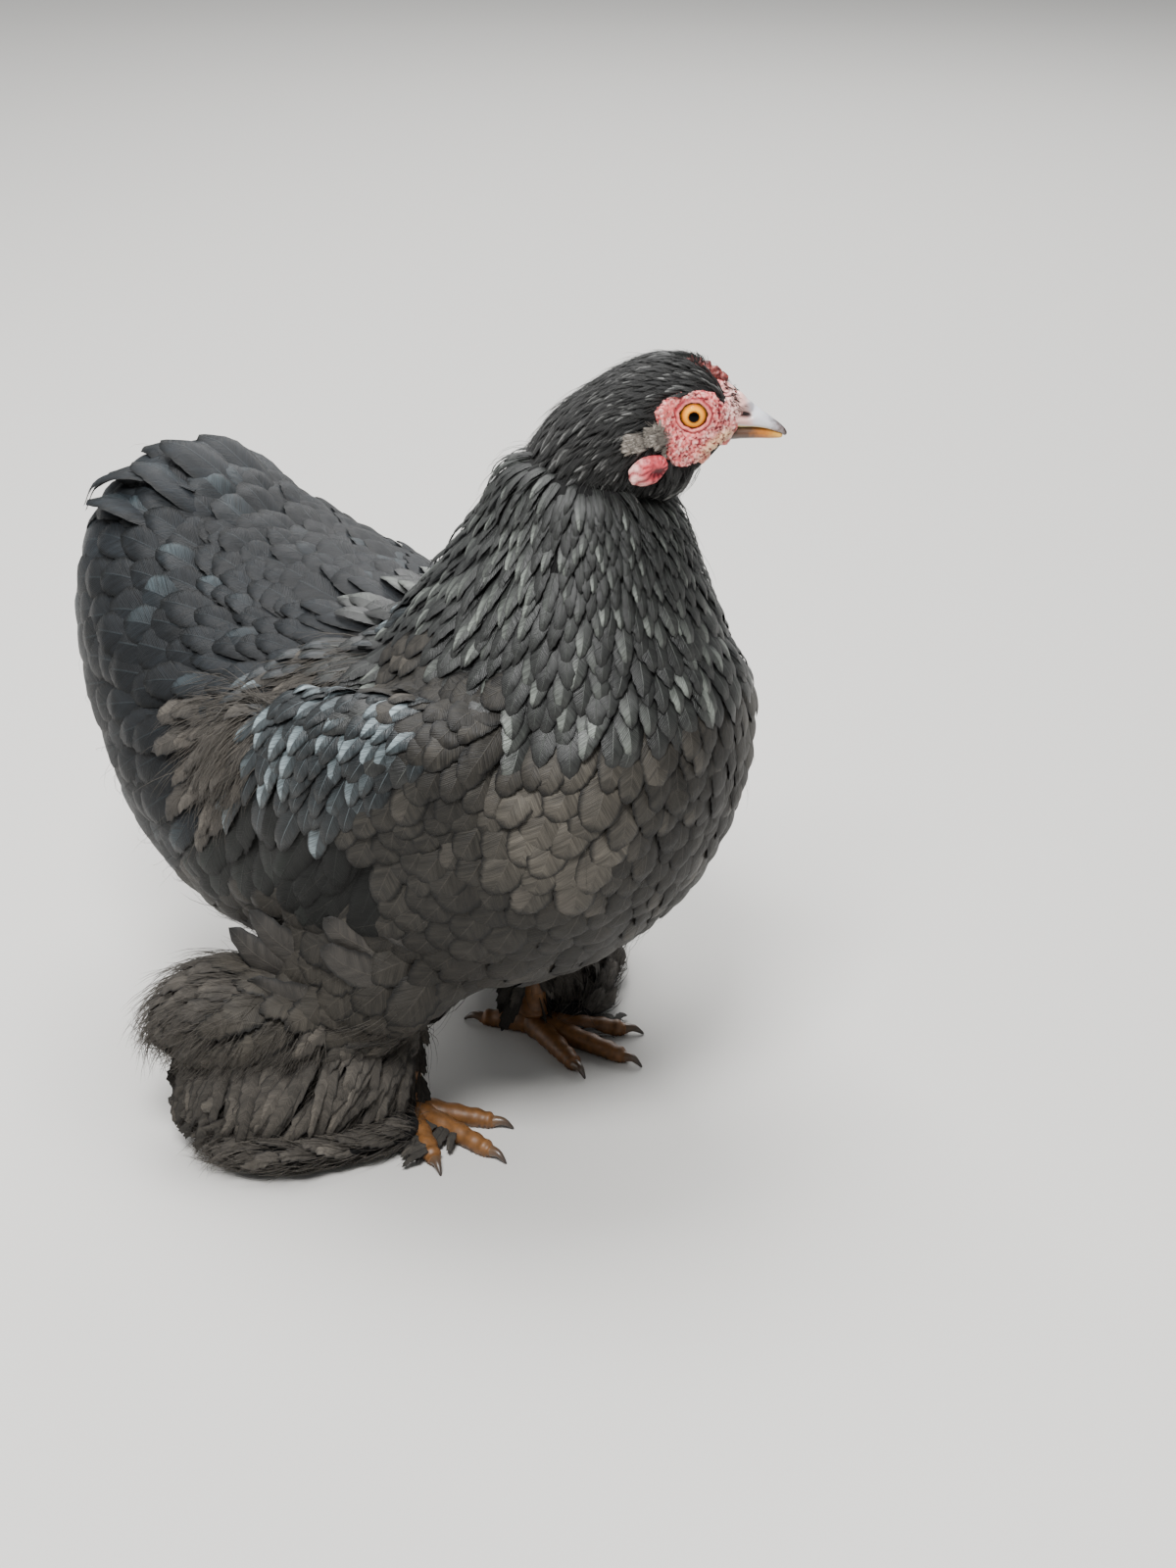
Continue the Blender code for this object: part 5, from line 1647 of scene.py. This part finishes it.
def body_plumage(skin, head, whole):
    """The body's coat, placed over the skin by the lie of its tracts."""
    lie = Lie(GUIDES, 7.0)

    def keep(points):
        near, out = head.nearest(points)
        off_head = ((points - near) * out).sum(1) > -1.5
        from_shank = np.hypot(points[:, 0] - FOOT_X, np.abs(points[:, 1]) - FOOT_Y)
        bare_leg = (points[:, 2] < 30) & (from_shank < 9)
        return off_head & ~bare_leg & (points[:, 2] > 1.5) & (hollow(points) > 0.95)

    places = spread(skin, keep, lambda points: lie.spacing(points, 0.39, 0.04), 110000)
    _, normals = skin.nearest(places)
    ways, facts = lie.ask(places, normals)
    ways = unit(ways + np.cross(normals, ways) * draw.normal(0, 0.08, (len(places), 1)))
    owner = lie.names[lie.weights(places).argmax(1)]
    roots, row_ways, row_owner = row_places(FEATHER_ROWS)
    places = np.concatenate((places, skin.nearest(roots)[0]))
    ways = np.concatenate((ways, row_ways))
    owner = np.concatenate((owner, row_owner))
    facts = np.concatenate((facts, [TRACTS[tract] for tract in row_owner]))
    facts[:, :2] *= draw.uniform(0.9, 1.12, (len(facts), 1))
    facts[:, 2] *= draw.uniform(0.85, 1.1, len(facts))
    stations, bed_normals = paths(whole, places, ways, facts[:, 0])
    clear = (hollow(stations.reshape(-1, 3)).reshape(-1, 4)[:, 1:] > 0.8).all(1)
    for name, (tile, kind, size, tracts, each) in COAT_PIECES.items():
        some = np.isin(owner, tracts) & clear
        parts = [feathers(tile, (stations[some], bed_normals[some]), facts[some], size)]
        if each:
            thick = COARSE_BARB if each > 3 else FINE_BARB
            parts.append(fluff(tile, skin, places[some], ways[some], facts[some], each, thick))
        coat_piece(name, parts, plumage[kind])


def long_feathers():
    """Feathers that are seen one by one: tail, wing edge and the stiff ones of the legs."""
    coat_piece("tail_feathers", [
        placed("body", TAIL_FEATHERS, (0.2, 0, 1), (0.15, 0.0, 0.05, 0.5))], plumage["back"])
    coat_piece("wing_edge", [
        placed("body", WING_TIP, (-0.2, 1, 0), (0.05, 0.7, 0.0, 0.4), True)], plumage["wing"])
    coat_piece("stiff_leg_feathers", [
        placed("leg", LEG_FEATHERS, (0, 1, 0.35), (0.6, 0.0, 0.1, 0.65), True)], plumage["leg"])


def head_coat(head, whole):
    """The short dense coat of crown, cheeks and throat."""
    lie = Lie(HEAD_GUIDES, 3.0)

    def keep(points):
        local = to_head(points)
        x, y, z = local.T
        lobe = (((x + 13.5) / 6.8) ** 2 + ((z + 16.8) / 4.8) ** 2 < 1) & (np.abs(y) > 7)
        comb = (np.abs(y) < 0.9) & (x > -2) & (z > 5)
        chin = (x > 2.5) & (z < -10)
        return (bare_face(local) < 0.5) & ~lobe & ~comb & ~chin & (x < 10.8)

    places = spread(head, keep, lambda points: lie.spacing(to_head(points), 0.4), 40000)
    _, normals = head.nearest(places)
    ways, facts = lie.ask(to_head(places), turned(normals, -HEAD_YAW))
    ways = turned(ways, HEAD_YAW)
    ways = unit(ways + np.cross(normals, ways) * draw.normal(0, 0.12, (len(places), 1)))
    facts[:, :2] *= draw.uniform(0.85, 1.2, (len(facts), 1))
    beds = paths(whole, places, ways, facts[:, 0])
    coat_piece("head_feathers", [
        feathers("head", beds, facts, "small", sink=0.5, thick=0.15, cup=0.16),
        fluff("head", head, places, ways, facts, 2.2, FINE_BARB),
    ], plumage["crown"])


def ear_coverts(head, count=220):
    """The grey tuft over each ear, swept back from behind the eye."""
    parts = []
    for _, sign in SIDES:
        x = draw.uniform(-15, -9.8, count)
        z = -6.9 + draw.normal(0, 0.85, count)
        roots, normals = head.nearest(from_head(per_point(count, x, sign * 20.0, z)))
        way = turned(per_point(count, -1.0, sign * 0.12, -0.15 + 0.09 * (z + 7)), HEAD_YAW)
        way = unit(way + draw.normal(0, 0.16, (count, 3)))
        facts = np.tile(np.array(TRACTS["ear"], float), (count, 1))
        facts[:, 0] *= draw.uniform(0.45, 1.0, count)
        beds = paths(head, roots, way, facts[:, 0])
        parts.append(feathers("head", beds, facts, "small", sink=0.4, thick=0.15, cup=0.1))
        parts.append(fluff("head", head, roots, way, facts, 3, FINE_BARB))
    coat_piece("ear_coverts", parts, plumage["ear"])


def bristles(head, count=1100):
    """Short dark bristles: thin on the face, longer along the comb and on the cere."""
    local = np.stack((
        draw.uniform(-9, 15, count), draw.choice((-12.0, 12.0), count),
        draw.uniform(-17, 8, count)), -1)
    kind = draw.choice(3, count, p=(0.45, 0.35, 0.2))
    comb, cere = kind == 1, kind == 2
    for some, front, aside in ((comb, (-3, 11), (1.2, 3.6)), (cere, (9, 15), (2, 8))):
        many = some.sum()
        x = draw.uniform(*front, many)
        y = draw.choice((-1, 1), many) * draw.uniform(*aside, many)
        z = draw.uniform(0, 9, many) if some is cere else 18.0
        local[some] = per_point(many, x, y, z)
    roots, normals = head.nearest(from_head(local))
    spot = to_head(roots)
    x, y, z = spot.T
    bare = (np.hypot(x, z) > 6.6) & (bare_face(spot) > 0.5) & ~((x > 2) & (z < -10))
    free = (kind > 0) | bare
    # The ways of the bristles of each kind: ahead, inward and up.
    ways = np.array(((-0.8, -0.3, -0.2), (-0.55, 0.35, 0.8), (0.55, -0.2, -0.35)))[kind]
    ways[:, 1] *= -np.sign(y)
    ways = unit(turned(ways, HEAD_YAW) + draw.normal(0, 0.22, (count, 3)))
    lengths = np.select(
        [comb, cere], [draw.uniform(3.5, 6.5, count), draw.uniform(1.8, 3.4, count)],
        draw.uniform(1.2, 2.8, count))
    thick = np.array((0.1, 0.14, 0.12))[kind]
    coat_piece("bristles", [strands(
        "head", roots[free], ways[free], normals[free], lengths[free], thick[free],
        (0.1, 0.2, 0.3), rise=0.5)], plumage["quill"])


def under_hock(count=330, hairs=2400):
    """The soft mass under each hock: fluff that runs back and down round it."""
    mass = Form(UNDER_HOCK)
    every = count + hairs
    t = draw.uniform(0.02, 0.86, every)
    turn = draw.uniform(math.radians(105), math.radians(435), every)
    down = turn + (math.radians(270) - turn) * draw.uniform(0.2, 0.5, every)
    roots = mass.points(t, turn, -3.5)
    reach = np.clip(t + draw.uniform(0.04, 0.2, every), 0, 1)
    ends = mass.points(reach, down, draw.uniform(-1.0, 2.0, every))
    ends = ends - draw.uniform(1.0, 11.0, (every, 1)) * (0, 0, 1)
    middles = mass.points((t + reach) / 2, (turn + down) / 2, 1.0)
    bows = (middles - (roots + ends) / 2) * 2
    faces = unit(middles - mass.row((t + reach) / 2)[:, :3])
    for spots in (roots, ends):
        spots[:, 2] = np.maximum(spots[:, 2], 3.0)
    widths = draw.uniform(4.0, 6.5, count)
    parts = []
    for flip in FLIPS:
        lines = bowed(roots[:count], ends[:count], bows[:count]) * flip
        normals = np.repeat((faces[:count] * flip)[:, None], 4, 1)
        facts = per_point(count, spans(lines), widths, 1.0, 0.95, 0.6, 1.0, 0.7)
        parts.append(feathers("leg", (lines, normals), facts, "middle", sink=0.6))
        root, end, face = (v[count:] * flip for v in (roots, ends, faces))
        parts.append(strands(
            "leg", root, unit(end - root), face, np.linalg.norm(end - root, axis=1),
            draw.uniform(0.08, 0.14, hairs), (0.95, 1.0, 0.8), curl=0.14, rise=0.34))
    coat_piece("under_hock", parts, plumage["fluff"])


def foot_plumage():
    """Small feathers down each shank, but for its inner front, and out over the middle and outer
    toes, and the fluff over them."""
    rows = []
    foot = np.array((FOOT_X, FOOT_Y, 0))
    for _ in range(120):
        turn = math.radians(draw.uniform(-110, 200))
        out = np.array((-math.sin(turn) * 0.7, math.cos(turn), 0))
        root = foot + (0, 0, draw.uniform(16, 56)) + out * 5.0
        tip = root + out * draw.uniform(5, 10) + (-2, 1, -draw.uniform(13, 19))
        tip[2] = max(tip[2], 2.5)
        rows.append((root, tip, out * 1.5, draw.uniform(3.6, 5.6)))
    for heading, reach, count in ((34, 30, 30), (4, 24, 16), (62, 12, 16)):
        turn = math.radians(heading)
        ahead = np.array((math.cos(turn), math.sin(turn), 0))
        off = np.array((-ahead[1], ahead[0], 0))
        for k in range(count):
            root = foot + (0, 0, 5.5) + ahead * reach * (k + 0.5) / count
            root = root + off * draw.uniform(-1, 2)
            tip = root + off * draw.uniform(7, 13) + ahead * draw.uniform(-2, 6) + (0, 0, -3.8)
            rows.append((root, tip, (0, 0, 1.5), draw.uniform(2.6, 4.2)))
    under_hock()
    coat_piece("toe_feathers", [placed(
        "leg", rows, (0, 0.6, 0.8), (0.9, 0.3, 1.0, 0.4), True, "middle")], plumage["fluff"])


skin, head = build_skin()
whole = Skin(*joined([(s.points, s.quads, ()) for s in (skin, head)])[:2])
upper_beak()
lower_beak()
comb()
for label, sign in SIDES:
    lids(label, sign)
    eyeball(label, sign)
    earlobe(label, sign)
    wattle(label, sign)
    for toe in TOES:
        claw(label, sign, *toe)
body_plumage(skin, head, whole)
long_feathers()
head_coat(head, whole)
ear_coverts(head)
bristles(head)
foot_plumage()

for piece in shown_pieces():
    if piece.type == "MESH" and not piece.data.attributes.get("sharp_edge"):
        piece.data.shade_smooth()


def stage():
    """A pale flat floor, an even sky and soft lamps."""
    floor, _ = new_material("matt floor", Roughness=0.9, Base_Color="#c4c2be")
    mesh = bpy.data.meshes.new("floor")
    corners = [(x * FLOOR_REACH, y * FLOOR_REACH, 0) for x, y in ((-1, -1), (1, -1), (1, 1), (-1, 1))]
    mesh.from_pydata(corners, [], [(0, 1, 2, 3)])
    mesh.materials.append(floor)
    ground = bpy.data.objects.new("floor", mesh)
    bpy.context.scene.collection.objects.link(ground)
    world = bpy.data.worlds.new("studio")
    world.use_nodes = True
    sky = world.node_tree.nodes["Background"].inputs
    give(sky["Color"], "#e8ecf0")
    give(sky["Strength"], WORLD_STRENGTH)
    bpy.context.scene.world = world
    for name, place, size, power in LAMPS:
        light = bpy.data.lights.new(name, "AREA")
        light.size = size
        light.energy = power
        lamp = bpy.data.objects.new(name, light)
        lamp.location = place
        lamp.rotation_euler = (LAMP_TARGET - Vector(place)).to_track_quat("-Z", "Y").to_euler()
        bpy.context.scene.collection.objects.link(lamp)


def camera():
    made = bpy.data.cameras.new("camera")
    made.lens = CAMERA_LENS
    made.sensor_width = CAMERA_SENSOR
    made.shift_x, made.shift_y = CAMERA_SHIFT
    back = Vector((
        math.sin(CAMERA_AZIMUTH) * math.cos(CAMERA_HEIGHT),
        -math.cos(CAMERA_AZIMUTH) * math.cos(CAMERA_HEIGHT),
        math.sin(CAMERA_HEIGHT)))
    eye = bpy.data.objects.new("camera", made)
    eye.location = Vector((np.array(CAMERA_AIM) + SHIFT) * MM) + back * CAMERA_DISTANCE
    eye.rotation_euler = (-back).to_track_quat("-Z", "Y").to_euler()
    bpy.context.scene.collection.objects.link(eye)
    bpy.context.scene.camera = eye


stage()
camera()
